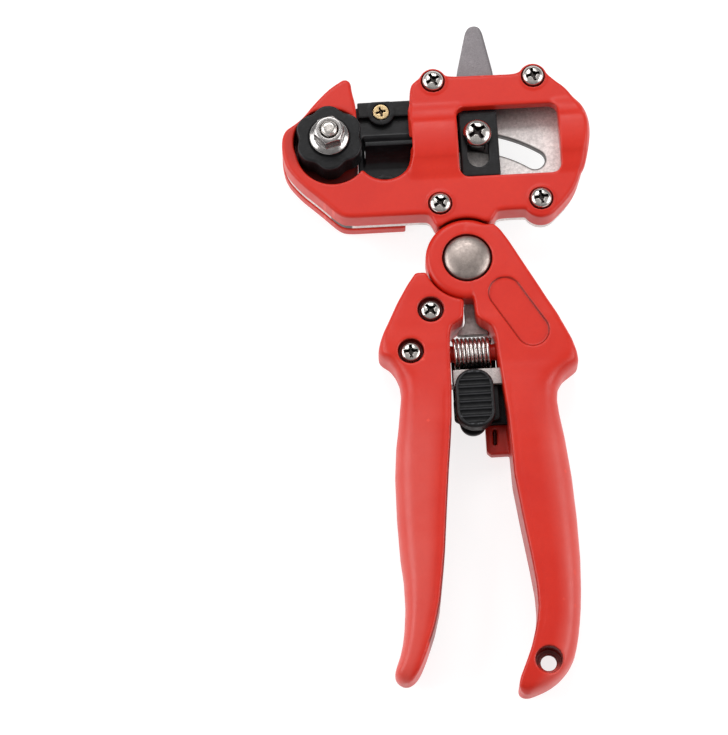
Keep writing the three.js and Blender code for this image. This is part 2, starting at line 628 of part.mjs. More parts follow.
// The catch on the left handle: a bar with a lip that hangs in front of the hook's finger.
function latchCatch() {
  return prism([
    [-10, -37.9], [-10, -39.2], [-4.5, -39.2], [-4.5, -41.9], [-3, -41.9], [-3, -37.9],
  ], ...CATCH_Z);
}

// ---- pivot ----

function pivotRivet() {
  return turned([0, 0], [
    [0, 0], [RIVET_RADIUS, 0], [RIVET_RADIUS, 14.3], [RIVET_HEAD, 14.3], [RIVET_HEAD, 15],
    [RIVET_HEAD * 0.88, 15.9], [RIVET_HEAD * 0.6, 16.7], [0, 17.1],
  ], 28);
}

function pivotCollar() {
  return cut(disc([0, 0], 7.2, 0, 2.1, 32), disc([0, 0], RIVET_RADIUS + GAP, -1, 9, 24));
}

function rearScrew(at) {
  const body = turned(at, [
    [0, 0.5], [2.8, 0.5], [2.8, 1.9], [1.3, 1.9], [1.3, 11.3], [0.7, 12.1], [0, 12.1],
  ], 20);
  const [x, y] = at;
  return cut(body, box(x - 1.5, x + 1.5, y - 0.4, y + 0.4, -1, 1.3),
    box(x - 0.4, x + 0.4, y - 1.5, y + 1.5, -1, 1.3));
}

// ---- materials ----

const finish = (color, roughness, metalness) => (
  new THREE.MeshStandardMaterial({ color, roughness, metalness }));
const RED = finish(0xd93a2e, 0.42, 0);
const BLACK = finish(0x232325, 0.5, 0);
const BLACK_STEEL = finish(0x2b2b2e, 0.38, 0.7);
const STEEL = finish(0xb8b0ae, 0.4, 1);
const NICKEL = finish(0xcfcbc4, 0.18, 1);
const BRASS = finish(0xc9ae86, 0.25, 1);

// ---- assembly ----

const tool = new THREE.Group();
const bodies = Object.fromEntries(['frame', 'lever', 'slide', 'latch', 'anvil'].map((name) => {
  const group = new THREE.Group();
  tool.add(group);
  return [name, group];
}));

function put(body, name, piece, material, at = [0, 0]) {
  const mesh = new THREE.Mesh(toGeometry(piece), material);
  mesh.name = name;
  mesh.position.set(at[0], at[1], 0);
  bodies[body].add(mesh);
}

put('frame', 'front_shell', frontShell(), RED);
put('frame', 'rear_shell', rearShell(), RED);
put('frame', 'frame_plate', framePlate(), STEEL);
put('frame', 'right_grip', rightGrip(), RED);
put('frame', 'pivot_rivet', pivotRivet(), NICKEL);
put('frame', 'pivot_collar', pivotCollar(), STEEL);
put('frame', 'anvil_bolt', anvilBolt(), NICKEL);
put('frame', 'anvil_nut', anvilNut(), NICKEL);
put('frame', 'return_spring', returnSpring(), NICKEL);
put('frame', 'latch_guide', latchGuide(), STEEL);
put('frame', 'latch_backing', join(latchBacking(0), springShelf()), BLACK);
const headScrew = panScrew([0, 0], SHELL_Z[1] - 0.3, 3.2, 2.2, 1.45, PLATE_Z[0] + 0.1);
SCREW_AT.forEach((at, i) => put('frame', `head_screw_${i + 1}`, headScrew, NICKEL, at));
REAR_SCREW_AT.forEach((at, i) => (
  put('frame', `rear_screw_${i + 1}`, rearScrew([0, 0]), NICKEL, at)));

put('lever', 'pruning_lever', moveableLever(), STEEL);
put('lever', 'left_grip', leftGrip(), RED);
const gripScrew = panScrew([0, 0], 13.2, 3.1, 2.1, 1.5, 1.3);
GRIP_SCREW_AT.forEach((at, i) => put('lever', `grip_screw_${i + 1}`, gripScrew, NICKEL, at));
put('lever', 'cam_screw', panScrew([0, 0], YOKE_TOP + 0.4, 4.4, 3.1, 1.65, 0.2), NICKEL, CAM_AT);
put('lever', 'cam_bush', camBush(), STEEL);
put('lever', 'cam_nut', camNut(), NICKEL);
put('lever', 'latch_catch', latchCatch(), STEEL);

put('slide', 'slider', slider(), BLACK);
put('slide', 'grafting_blade', graftingBlade(), BLACK_STEEL);
[1, -1].forEach((side, row) => {
  put('slide', `clamp_strip_${row + 1}`, clampStrip(side), BLACK_STEEL);
  const brass = flatScrew([0, 0], ARM_Z[1] - 0.05, 2.45, 1.3, STRIP_Z[0] + 0.1);
  HOLE_X.forEach((x, i) => put(
    'slide', `blade_screw_${row * 2 + i + 1}`, brass, BRASS, [x, BLADE_Y + side * HOLE_OFFSET]));
});

put('latch', 'latch_button', latchButton(), BLACK);
put('latch', 'latch_hook', latchHook(), BLACK_STEEL);
put('anvil', 'anvil_wheel', anvilWheel(), BLACK);

export default tool;
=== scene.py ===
"""Grafting knife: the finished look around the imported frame.

Shapes are built as smooth distance fields in millimetres, in the frame's own axes, and meshed
with surface nets, so that moulded edges are truly round. Flat steel is an outline with rolled
edges, and turned pieces are spun from a profile.
"""
import math

import bmesh
import bpy
import numpy as np
from mathutils import Matrix, Vector
from mathutils.geometry import delaunay_2d_cdt

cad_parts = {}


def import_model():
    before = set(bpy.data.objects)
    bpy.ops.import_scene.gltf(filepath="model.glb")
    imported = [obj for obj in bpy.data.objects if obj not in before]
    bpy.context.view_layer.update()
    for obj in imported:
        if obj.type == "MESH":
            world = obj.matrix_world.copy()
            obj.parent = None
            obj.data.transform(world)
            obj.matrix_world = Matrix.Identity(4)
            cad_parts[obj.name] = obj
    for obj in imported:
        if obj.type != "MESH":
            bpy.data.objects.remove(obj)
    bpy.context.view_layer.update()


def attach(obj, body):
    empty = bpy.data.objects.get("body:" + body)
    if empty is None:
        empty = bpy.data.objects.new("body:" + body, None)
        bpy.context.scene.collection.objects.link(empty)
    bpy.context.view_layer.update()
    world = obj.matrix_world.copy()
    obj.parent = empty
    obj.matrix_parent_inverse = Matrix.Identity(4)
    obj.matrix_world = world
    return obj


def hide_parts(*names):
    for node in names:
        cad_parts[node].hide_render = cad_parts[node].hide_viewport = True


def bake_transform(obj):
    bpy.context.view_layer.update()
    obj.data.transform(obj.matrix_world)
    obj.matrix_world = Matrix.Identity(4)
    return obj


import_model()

MM = 0.001
COARSE = 1.0

# ---- levels and places that match the frame, in millimetres ----
SHELL_LOW, SHELL_HIGH, BAND_HIGH = 7.8, 16.0, 18.6
PLATE_LOW, PLATE_HIGH = 5.1, 7.5
LEVER_LOW, LEVER_HIGH = 2.4, 4.8
BLADE_LOW, BLADE_HIGH = 9.1, 9.9
ARM_LOW, ARM_HIGH = 10.2, 11.8
YOKE_HIGH = 13.4
HEAD_SCREWS = [(-6.9, 57.4), (23.7, 57.4), (-7.1, 17.5), (23.5, 17.5)]
REAR_SCREWS = [(-37.3, 54.6), (-33.5, 18.9), (-22.5, 18.4)]
GRIP_SCREWS = [(-12.0, -15.8), (-18.7, -28.6)]
WHEEL = (-39.5, 39.5)
THROAT, THROAT_R = (-22.9, 34.8), 8.3
CAM_R, CAM_DEG, OPENING = 40.6, 82.1, 26.0
BLADE_Y, BLADE_HALF = 37.6, 15.7
BLADE_X, RIDGE_END, ARM_END = (-31.0, -0.9), -28.8, -30.3
HOLE_X, HOLE_OFF = (-23.2, -9.4), 12.4
BLADE_HOLES = [(hx, BLADE_Y + side * HOLE_OFF) for side in (1, -1) for hx in HOLE_X]
RING_R, HUB_R = 12.6, 11.5
RIVET_R, BOLT_R = 7.1, 2.55
POCKET_END, POCKET_R = (-38.7, 36.6), 10.9
SPRING_Y, SPRING_Z = -27.5, 6.4
LATCH = (-0.5, -44.4)
HANG = (15.9, -125.4)
OVAL = ((10.6, -11.9), (18, -24.1), 5)
TAB_SLOT = ((5.2, -51.8), (5, -55.6))
TANG_GAP = 0.35
HOOK_LOW, HOOK_HIGH = 7.8, 9.3
GUIDE_LOW, GUIDE_HIGH = 9.6, 11.2
BUTTON_LOW, BUTTON_HIGH = 11.5, 15.6


def cosine(degrees):
    return math.cos(math.radians(degrees))


def sine(degrees):
    return math.sin(math.radians(degrees))


def polar(r, degrees, centre=(0.0, 0.0)):
    return centre[0] + r * cosine(degrees), centre[1] + r * sine(degrees)


CAM = polar(CAM_R, CAM_DEG)


# ---- outlines ----

def arc(centre, r, start, end, steps):
    return [polar(r, start + (end - start) * i / steps, centre) for i in range(steps + 1)]


def soften(points, reach, rounds=3):
    """Rounds the corners of a closed outline by cutting them back, at most reach along an edge."""
    pts = [tuple(p) for p in points]
    for _ in range(rounds):
        out = []
        for i, p in enumerate(pts):
            for q in (pts[i - 1], pts[(i + 1) % len(pts)]):
                length = math.dist(p, q)
                t = min(0.25, reach / length) if length else 0
                out.append((p[0] + (q[0] - p[0]) * t, p[1] + (q[1] - p[1]) * t))
        pts, reach = out, reach * 0.45
    return pts


def rounded_box(x0, x1, y0, y1, r, steps=8):
    return (arc((x1 - r, y0 + r), r, -90, 0, steps) + arc((x1 - r, y1 - r), r, 0, 90, steps)
            + arc((x0 + r, y1 - r), r, 90, 180, steps) + arc((x0 + r, y0 + r), r, 180, 270, steps))


def head_outline():
    left = [(-38.7, 57), (-43.3, 52.5), (-47.3, 47.7), (-50.5, 45.4), (-52.7, 44.1), (-53.9, 41.2),
            (-54, 37.1), (-53, 31.8), (-48.9, 26.4), (-43.3, 21.2)]
    return soften(
        [(-37.6, 15.4), (-34.9, 14.6), (-11.4, 14.6), (-10.1, 13.6), (-9.1, 11.2), (-8.6, 10.4),
         (0, 10.4), (7, 11.2), (8.4, 11.7), (9.4, 13.4), (10.4, 14.6), (18.4, 14.6)]
        + arc((23.5, 17.3), 5.6, 212, 318, 12)
        + [(30.8, 16.5), (34.2, 20.8), (37.1, 28.6), (38.8, 35.3), (39.3, 40), (38.8, 44),
           (37.5, 47), (35.6, 50.2), (33.3, 53.6), (30.4, 56)]
        + arc((23.7, 57.4), 4.4, 15, 150, 14) + [(18, 58.8), (-1, 59)]
        + arc((-6.9, 57.4), 4.2, 30, 155, 14) + [(-12.4, 58), (-14, 56.4), (-14.6, 50)]
        + arc(THROAT, THROAT_R, 0, -138, 30) + [(-31, 31), (-30.8, 51), (-31.7, 55.3)]
        + arc((-33.8, 57.8), 1.9, 0, 125, 8) + left, 1.6)


def arc_slot(half, extra):
    """The slot that the cam runs in: half its width, and how far it runs on at each end."""
    low, high = CAM_DEG - OPENING - extra, CAM_DEG + extra
    return (arc((0, 0), CAM_R + half, low, high, 30)
            + arc(polar(CAM_R, high), half, high, high + 180, 12)[1:-1]
            + arc((0, 0), CAM_R - half, high, low, 30)
            + arc(polar(CAM_R, low), half, low + 180, low + 360, 12)[1:-1])


def placed(name, data):
    """A new object in the scene."""
    obj = bpy.data.objects.new(name, data)
    bpy.context.scene.collection.objects.link(obj)
    return obj


# ---- distance fields, in millimetres, negative inside ----

def region(x, y, points):
    """Signed distance to a closed outline; x and y broadcast against each other."""
    x, y = np.broadcast_arrays(x, y)
    best = np.full(x.shape, 1e9, np.float32)
    inside = np.zeros(x.shape, bool)
    n = len(points)
    for i in range(n):
        (ax, ay), (bx, by) = points[i], points[(i + 1) % n]
        ex, ey = bx - ax, by - ay
        square = ex * ex + ey * ey
        if square < 1e-12:
            continue
        wx, wy = x - ax, y - ay
        t = np.clip((wx * ex + wy * ey) / square, 0, 1)
        best = np.minimum(best, (wx - ex * t) ** 2 + (wy - ey * t) ** 2)
        if ay != by:
            crosses = (ay <= y) != (by <= y)
            inside ^= crosses & (x < ax + (y - ay) * ex / ey)
    return np.sqrt(best) * np.where(inside, -1, 1).astype(np.float32)


def both(a, b, r=0.0):
    """What is inside both, with the edge between them rounded to radius r."""
    if r == 0:
        return np.maximum(a, b)
    return np.minimum(-r, np.maximum(a, b)) + np.hypot(np.maximum(a + r, 0), np.maximum(b + r, 0))


def either(a, b, r=0.0):
    """What is inside one or the other, with a fillet of radius r between them."""
    if r == 0:
        return np.minimum(a, b)
    return np.maximum(r, np.minimum(a, b)) - np.hypot(np.maximum(r - a, 0), np.maximum(r - b, 0))


def without(a, b, r=0.0):
    return both(a, -b, r)


def slab(flat, z, low, high, front=0.0, rear=0.0):
    return both(both(flat, z - high, front), low - z, rear)


def disc(x, y, centre, r):
    return np.hypot(x - centre[0], y - centre[1]) - r


def brick(x, y, z, x0, x1, y0, y1, z0, z1, r=0.0):
    d = both(np.abs(x - (x0 + x1) / 2) - (x1 - x0) / 2, np.abs(y - (y0 + y1) / 2) - (y1 - y0) / 2, r)
    return both(d, np.abs(z - (z0 + z1) / 2) - (z1 - z0) / 2, r)


def drilled(d, x, y, places, r, floor=None, soft=0.0):
    """Cuts a round hole of radius r at each place, kept within the floor field if there is one."""
    for at in places:
        hole = disc(x, y, at, r)
        d = without(d, hole if floor is None else both(hole, floor), soft)
    return d


def hexagon(x, y, r, centre, turn=0):
    return region(x, y, [polar(r, turn + 60 * i, centre) for i in range(6)])


def stadium(x, y, a, b, r):
    ex, ey = b[0] - a[0], b[1] - a[1]
    t = np.clip(((x - a[0]) * ex + (y - a[1]) * ey) / (ex * ex + ey * ey), 0, 1)
    return np.hypot(x - a[0] - ex * t, y - a[1] - ey * t) - r


def turned(x, y, z, profile, centre=(0.0, 0.0)):
    """A turned solid: profile is a list of (radius, height) from the axis and back to it."""
    r = np.hypot(x - centre[0], y - centre[1])
    mirrored = [(-a, b) for a, b in reversed(profile)]
    return region(r, z, list(profile) + mirrored)


def grid(low, high, step):
    step *= COARSE
    pad = 2.5 * step
    axes = [np.arange(l - pad, h + pad + step, step, dtype=np.float32) for l, h in zip(low, high)]
    x, y, z = axes
    return x[:, None, None], y[None, :, None], z[None, None, :], (np.array([a[0] for a in axes]), step)


def grid_around(centre, r, low, high, step):
    cx, cy = centre
    return grid((cx - r, cy - r, low), (cx + r, cy + r, high), step)


CORNERS = [(i, j, k) for i in (0, 1) for j in (0, 1) for k in (0, 1)]


def sample(field, where):
    """Trilinear reading of a grid at fractional indices."""
    top = np.array(field.shape) - 2
    base = np.clip(np.floor(where).astype(int), 0, top)
    f = where - base
    total = 0
    for c in CORNERS:
        w = np.prod([f[:, a] if c[a] else 1 - f[:, a] for a in range(3)], axis=0)
        total = total + w * field[base[:, 0] + c[0], base[:, 1] + c[1], base[:, 2] + c[2]]
    return total


def net(name, field, place):
    """Meshes a distance field with surface nets, then settles the points on the surface."""
    origin, step = place
    field = np.ascontiguousarray(field, np.float32)
    sign = field < 0
    cells = tuple(n - 1 for n in field.shape)
    total = np.zeros((*cells, 3), np.float32)
    count = np.zeros(cells, np.float32)
    for axis in range(3):
        for u in (0, 1):
            for v in (0, 1):
                start = [0, 0, 0]
                others = [a for a in range(3) if a != axis]
                start[others[0]], start[others[1]] = u, v
                cut_a = tuple(slice(start[a], start[a] + cells[a]) for a in range(3))
                cut_b = tuple(slice(start[a] + (a == axis), start[a] + (a == axis) + cells[a])
                              for a in range(3))
                a, b = field[cut_a], field[cut_b]
                hit = sign[cut_a] != sign[cut_b]
                t = np.where(hit, a / np.where(hit, a - b, 1), 0)
                total[..., axis] += t
                total[..., others[0]] += hit * u
                total[..., others[1]] += hit * v
                count += hit
    active = count > 0
    ids = np.full(cells, -1, np.int64)
    ids[active] = np.arange(int(active.sum()))
    where = np.argwhere(active) + total[active] / count[active][:, None]
    faces = []
    for axis in range(3):
        u, v = [a for a in range(3) if a != axis]
        low = [slice(None)] * 3
        high = [slice(None)] * 3
        low[axis], high[axis] = slice(0, -1), slice(1, None)
        change = sign[tuple(low)] != sign[tuple(high)]
        at = np.argwhere(change)
        flip = sign[tuple(low)][change]
        keep = (at[:, u] > 0) & (at[:, v] > 0) & (at[:, u] < cells[u]) & (at[:, v] < cells[v])
        at, flip = at[keep], flip[keep]
        quad = []
        for du, dv in ((-1, -1), (0, -1), (0, 0), (-1, 0)):
            c = at.copy()
            c[:, u] += du
            c[:, v] += dv
            quad.append(ids[c[:, 0], c[:, 1], c[:, 2]])
        quad = np.stack(quad, 1)
        turn = flip if axis != 1 else ~flip
        faces.append(np.where(turn[:, None], quad, quad[:, ::-1]))
    faces = np.concatenate(faces)
    a, b, c, d = (where[faces[:, k]] for k in range(4))
    if np.einsum("ij,ij", a, np.cross(b, c) + np.cross(c, d)) < 0:
        faces = faces[:, ::-1]
    slope = np.gradient(field)
    for _ in range(2):
        normal = np.stack([sample(g, where) for g in slope], 1)
        square = np.maximum((normal ** 2).sum(1), 0.2 * step * step)
        move = sample(field, where) / square
        where = where - np.clip(move, -1, 1)[:, None] * normal * 0.9
    normal = np.stack([sample(g, where) for g in slope], 1)
    normal /= np.maximum(np.linalg.norm(normal, axis=1), 1e-9)[:, None]
    mesh = bpy.data.meshes.new(name)
    mesh.vertices.add(len(where))
    mesh.vertices.foreach_set("co", ((where * step + origin) * MM).astype(np.float32).ravel())
    mesh.loops.add(len(faces) * 4)
    mesh.loops.foreach_set("vertex_index", faces.astype(np.int32).ravel())
    mesh.polygons.add(len(faces))
    mesh.polygons.foreach_set("loop_start", np.arange(0, len(faces) * 4, 4, dtype=np.int32))
    mesh.polygons.foreach_set("use_smooth", np.ones(len(faces), bool))
    mesh.update(calc_edges=True)
    mesh.validate()
    mesh.normals_split_custom_set_from_vertices(normal)
    return placed(name, mesh)


def loops_of(field2d, low, high, step):
    """Closed loops on the zero line of a flat field, as arrays of points settled on the line."""
    step *= COARSE
    xs = np.arange(low[0] - 2 * step, high[0] + 3 * step, step)
    ys = np.arange(low[1] - 2 * step, high[1] + 3 * step, step)
    f = field2d(xs[:, None], ys[None, :])
    sign = f < 0
    ids, points, links = {}, [], {}
    for axis in (0, 1):
        a, b = (f[:-1], f[1:]) if axis == 0 else (f[:, :-1], f[:, 1:])
        for i, j in np.argwhere((a < 0) != (b < 0)):
            t = a[i, j] / (a[i, j] - b[i, j])
            spot = (xs[i] + t * step, ys[j]) if axis == 0 else (xs[i], ys[j] + t * step)
            cells = ((i, j - 1), (i, j)) if axis == 0 else ((i - 1, j), (i, j))
            for c in cells:
                if c not in ids:
                    ids[c] = len(points)
                    points.append([0.0, 0.0, 0])
                p = points[ids[c]]
                p[0], p[1], p[2] = p[0] + spot[0], p[1] + spot[1], p[2] + 1
            inside_low = sign[i, j]
            first, second = cells if (axis == 0) == bool(inside_low) else cells[::-1]
            links.setdefault(ids[first], []).append(ids[second])
    p = np.array([(q[0] / q[2], q[1] / q[2]) for q in points])
    slope = flat_slope(field2d)
    for _ in range(3):
        g = slope(p)
        p = p - (point_field(field2d, p) / np.maximum((g ** 2).sum(1), 0.2))[:, None] * g
    loops, used = [], set()
    for start in links:
        if start in used:
            continue
        loop, here = [], start
        while here not in used:
            used.add(here)
            loop.append(here)
            here = links[here][0]
        loops.append(p[loop])
    return loops


def point_field(field2d, p):
    return field2d(p[:, 0].astype(np.float64), p[:, 1].astype(np.float64))


def flat_slope(field2d, h=0.01):
    def slope(p):
        dx = point_field(field2d, p + (h, 0)) - point_field(field2d, p - (h, 0))
        dy = point_field(field2d, p + (0, h)) - point_field(field2d, p - (0, h))
        return np.stack([dx, dy], 1) / (2 * h)
    return slope


def mesh_object(name, verts, faces, normals=None):
    """A smooth mesh object from points in millimetres, with its faces turned outwards."""
    verts = np.asarray(verts, float)
    volume = sum(np.einsum("i,i", verts[f[0]], np.cross(verts[f[k]], verts[f[k + 1]]))
                 for f in faces for k in range(1, len(f) - 1))
    if volume < 0:
        faces = [f[::-1] for f in faces]
    mesh = bpy.data.meshes.new(name)
    mesh.from_pydata((verts * MM).tolist(), [], [list(map(int, f)) for f in faces])
    mesh.validate()
    mesh.shade_smooth()
    if normals is not None:
        mesh.normals_split_custom_set_from_vertices(np.asarray(normals, float).tolist())
    return placed(name, mesh)


def plate(name, field2d, low, high, z0, z1, edge=0.2, step=0.35):
    """A flat piece with rolled edges, from a flat field, which gives its outline and its holes."""
    loops = loops_of(field2d, low, high, step)
    flat = np.concatenate(loops)
    n = len(flat)
    g = flat_slope(field2d)(flat)
    g /= np.maximum(np.linalg.norm(g, axis=1), 1e-6)[:, None]
    verts, normals = [], []
    steps = [0, 45, 90]
    rings = ([(edge * (1 - sine(a)), z0 + edge * (1 - cosine(a)), sine(a), -cosine(a))
              for a in steps]
             + [(edge * (1 - sine(a)), z1 - edge * (1 - cosine(a)), sine(a), cosine(a))
                for a in reversed(steps)])
    for inset, z, out, up in rings:
        verts.append(np.column_stack([flat - g * inset, np.full(n, z)]))
        normals.append(np.column_stack([g * out, np.full(n, up)]))
    faces, edges, first = [], [], 0
    for loop in loops:
        m = len(loop)
        for i in range(m):
            a, b = first + i, first + (i + 1) % m
            edges.append((a, b))
            faces += [(k * n + a, k * n + b, (k + 1) * n + b, (k + 1) * n + a)
                      for k in range(len(rings) - 1)]
        first += m
    cap = [Vector(v) for v in verts[0][:, :2]]
    out_verts, _, tris, came, _, _ = delaunay_2d_cdt(cap, edges, [], 0, 1e-5)
    where = np.array(out_verts)[:, :2]
    source = [c[0] if c else -1 for c in came]
    middle = np.array([where[list(t)].mean(0) for t in tris])
    ends = np.array([(verts[0][a, :2], verts[0][b, :2]) for a, b in edges])
    inside = np.zeros(len(middle), bool)
    for (ax, ay), (bx, by) in ends:
        if ay != by:
            hit = (ay <= middle[:, 1]) != (by <= middle[:, 1])
            inside ^= hit & (middle[:, 0] < ax + (middle[:, 1] - ay) * (bx - ax) / (by - ay))
    top = (len(rings) - 1) * n
    caps = []
    for t, keep in zip(tris, inside):
        t = [source[i] for i in t]
        if keep and min(t) >= 0:
            caps += [(t[2], t[1], t[0]), (top + t[0], top + t[1], top + t[2])]
    wall = faces[len(rings) // 2]
    all_v, all_n = np.concatenate(verts), np.concatenate(normals)
    face_n = np.cross(all_v[wall[1]] - all_v[wall[0]], all_v[wall[2]] - all_v[wall[0]])
    if face_n @ all_n[wall[0]] < 0:
        faces = [f[::-1] for f in faces]
    return mesh_object(name, all_v, faces + caps, all_n)


def lathe(name, profile, centre=(0.0, 0.0), sides=72, sharp=32):
    """A turned solid. The profile lists radius and height from one end of the axis to the other."""
    sides = int(sides / COARSE)
    verts, rows = [], []
    for r, z in profile:
        if r < 1e-6:
            rows.append([len(verts)])
            verts.append((centre[0], centre[1], z))
        else:
            rows.append(list(range(len(verts), len(verts) + sides)))
            verts += [(*polar(r, 360 * i / sides, centre), z) for i in range(sides)]
    faces = []
    for a, b in zip(rows, rows[1:]):
        for i in range(sides):
            j = (i + 1) % sides
            quad = [a[i % len(a)], a[j % len(a)], b[j % len(b)], b[i % len(b)]]
            faces.append(list(dict.fromkeys(quad)))
    obj = mesh_object(name, verts, [f for f in faces if len(f) > 2])
    obj.data.set_sharp_from_angle(angle=math.radians(sharp))
    return obj


# ---- materials ----

def linear(r, g, b):
    return tuple(c / 3294.6 if c <= 10 else ((c / 255 + 0.055) / 1.055) ** 2.4
                 for c in (r, g, b)) + (1,)


class Look:
    """A procedural material, worked out from the piece's own place in the frame."""

    def __init__(self, name, metallic=0.0, **sockets):
        self.m = bpy.data.materials.new(name)
        self.m.use_nodes = True
        self.tree = self.m.node_tree
        self.shader = self.tree.nodes["Principled BSDF"]
        self.shader.inputs["Metallic"].default_value = metallic
        for socket, value in sockets.items():
            self.shader.inputs[socket.replace("_", " ").title().replace("Ior", "IOR")].default_value = value
        self.place = self.node("ShaderNodeTexCoord").outputs["Object"]

    def node(self, kind, **settings):
        n = self.tree.nodes.new(kind)
        for key, value in settings.items():
            setattr(n, key, value)
        return n

    def link(self, a, b):
        self.tree.links.new(a, b)

    def noise(self, size, detail=3.0, rough=0.55, stretch=None, distort=0.0):
        """Noise whose blotches are about size millimetres across."""
        n = self.node("ShaderNodeTexNoise")
        n.inputs["Scale"].default_value = 1000.0 / size
        n.inputs["Detail"].default_value = detail
        n.inputs["Roughness"].default_value = rough
        n.inputs["Distortion"].default_value = distort
        place = self.place
        if stretch:
            mapping = self.node("ShaderNodeMapping")
            mapping.inputs["Scale"].default_value = stretch
            self.link(place, mapping.inputs["Vector"])
            place = mapping.outputs["Vector"]
        self.link(place, n.inputs["Vector"])
        return n.outputs["Fac"]

    def spread(self, value, low, high, to_low, to_high):
        n = self.node("ShaderNodeMapRange")
        for key, v in zip(("From Min", "From Max", "To Min", "To Max"), (low, high, to_low, to_high)):
            n.inputs[key].default_value = v
        self.link(value, n.inputs["Value"])
        return n.outputs["Result"]

    def patches(self, low, high, *noise, top=1, **more):
        """Blotches of noise: none where it is below low, rising to top where it is above high."""
        return self.spread(self.noise(*noise, **more), low, high, 0, top)

    def mix(self, factor, a, b, kind="MIX"):
        n = self.node("ShaderNodeMix", data_type="RGBA", blend_type=kind)
        for value, socket in ((factor, n.inputs["Factor"]), (a, n.inputs["A"]), (b, n.inputs["B"])):
            if isinstance(value, (tuple, float, int)):
                socket.default_value = value
            else:
                self.link(value, socket)
        return n.outputs["Result"]

    def marked(self, name):
        """What was marked on the piece's points under that name."""
        return self.node("ShaderNodeAttribute", attribute_name=name).outputs["Fac"]

    def edges(self, low, high):
        """Rises on convex edges, for wear where handling rubs the surface and, on the red plastic, for a
        painted edge highlight.
        """
        return self.spread(self.node("ShaderNodeNewGeometry").outputs["Pointiness"], low, high, 0, 1)

    def times(self, a, b, operation="MULTIPLY"):
        """The product of two values, or what another operation makes of them."""
        n = self.node("ShaderNodeMath", operation=operation)
        for value, socket in ((a, n.inputs[0]), (b, n.inputs[1])):
            if isinstance(value, (float, int)):
                socket.default_value = value
            else:
                self.link(value, socket)
        return n.outputs[0]

    def colour(self, value):
        self.link(value, self.shader.inputs["Base Color"])

    def roughness(self, value):
        self.link(value, self.shader.inputs["Roughness"])

    def bumps(self, *layers):
        """Each layer is a height, how deep it is in millimetres and how strongly it shows."""
        normal = None
        for height, depth, strength in layers:
            n = self.node("ShaderNodeBump")
            n.inputs["Distance"].default_value = depth * MM
            n.inputs["Strength"].default_value = strength
            self.link(height, n.inputs["Height"])
            if normal:
                self.link(normal, n.inputs["Normal"])
            normal = n.outputs["Normal"]
        self.link(normal, self.shader.inputs["Normal"])
        return self


def red_plastic():
    """Satin moulded plastic: faint flow mottling, a fine spark texture, edges lighter partly from wear and
    partly as a painted highlight, a painted sheen on the grips and painted shade in the hollows.
    """
    k = Look("red_plastic", specular_ior_level=0.36, coat_weight=0.05, coat_roughness=0.3)
    base = k.mix(k.patches(0.3, 0.7, 16, 3), linear(199, 32, 15), linear(207, 40, 20))
    base = k.mix(k.patches(0.35, 0.75, 1.1, 4, 0.6, top=0.35), base, linear(190, 32, 18))
    # painted sheen: a pale highlight across the outer side of the lower grips
    painted_sheen = k.times(k.marked("painted_sheen"), k.spread(k.noise(11, 3), 0.3, 0.7, 0.25, 0.37))
    base = k.mix(painted_sheen, base, linear(222, 112, 104))
    # lighter along convex edges: partly wear, partly a painted highlight
    base = k.mix(k.times(k.edges(0.52, 0.60), k.spread(k.noise(2.5, 4), 0.35, 0.6, 0.25, 0.8)),
                 base, linear(226, 74, 58))
    # painted shade: darkened where the points are marked as lying in shadow
    k.colour(k.mix(k.times(k.marked("painted_shade"), 0.86), base, linear(70, 10, 7)))
    k.roughness(k.spread(k.noise(3.2, 5, 0.65), 0.3, 0.7, 0.34, 0.46))
    k.bumps((k.noise(0.55, 2), 0.012, 0.5), (k.noise(9, 2), 0.12, 0.12))
    return k.m


def black_plastic(name="black_plastic", shine=0.28):
    """Black moulded plastic, with grey wear where fingers turn it."""
    k = Look(name, specular_ior_level=shine)
    base = k.mix(k.patches(0.35, 0.7, 2.2, 5, 0.62), linear(12, 12, 13), linear(22, 22, 24))
    scuff = k.times(k.patches(0.52, 0.68, 1.3, 6, 0.7, stretch=(1, 3, 1)), 0.5)
    base = k.mix(scuff, base, linear(42, 42, 45))
    base = k.mix(k.times(k.edges(0.52, 0.60), 0.6), base, linear(84, 84, 88))
    k.colour(base)
    k.roughness(k.spread(k.noise(1.4, 5, 0.7), 0.3, 0.7, 0.36, 0.56))
    k.bumps((k.noise(0.4, 3), 0.014, 0.6), (k.noise(3, 3), 0.05, 0.2))
    return k.m


def black_steel(name="black_steel", shine=0.0):
    """Black oxide on steel: dark, a little oily, with bare metal showing along the edges."""
    k = Look(name, metallic=0.2, specular_ior_level=0.34)
    base = k.mix(k.patches(0.35, 0.7, 3.5, 5, 0.6), linear(14, 14, 15), linear(26, 26, 28))
    base = k.mix(k.times(k.patches(0.5, 0.7, 0.8, 5, 0.7, stretch=(0.25, 1, 1)), 0.4),
                 base, linear(46, 46, 49))
    base = k.mix(k.times(k.edges(0.53, 0.62), k.spread(k.noise(1.2, 4), 0.4, 0.6, 0.3, 0.9)),
                 base, linear(88, 88, 92))
    k.colour(base)
    k.roughness(k.spread(k.noise(1.1, 5, 0.7, stretch=(0.3, 1, 1)), 0.3, 0.7, 0.28 - shine, 0.44 - shine))
    k.bumps((k.noise(0.5, 4, stretch=(0.25, 1, 1)), 0.01, 0.45), (k.noise(6, 2), 0.08, 0.15))
    return k.m


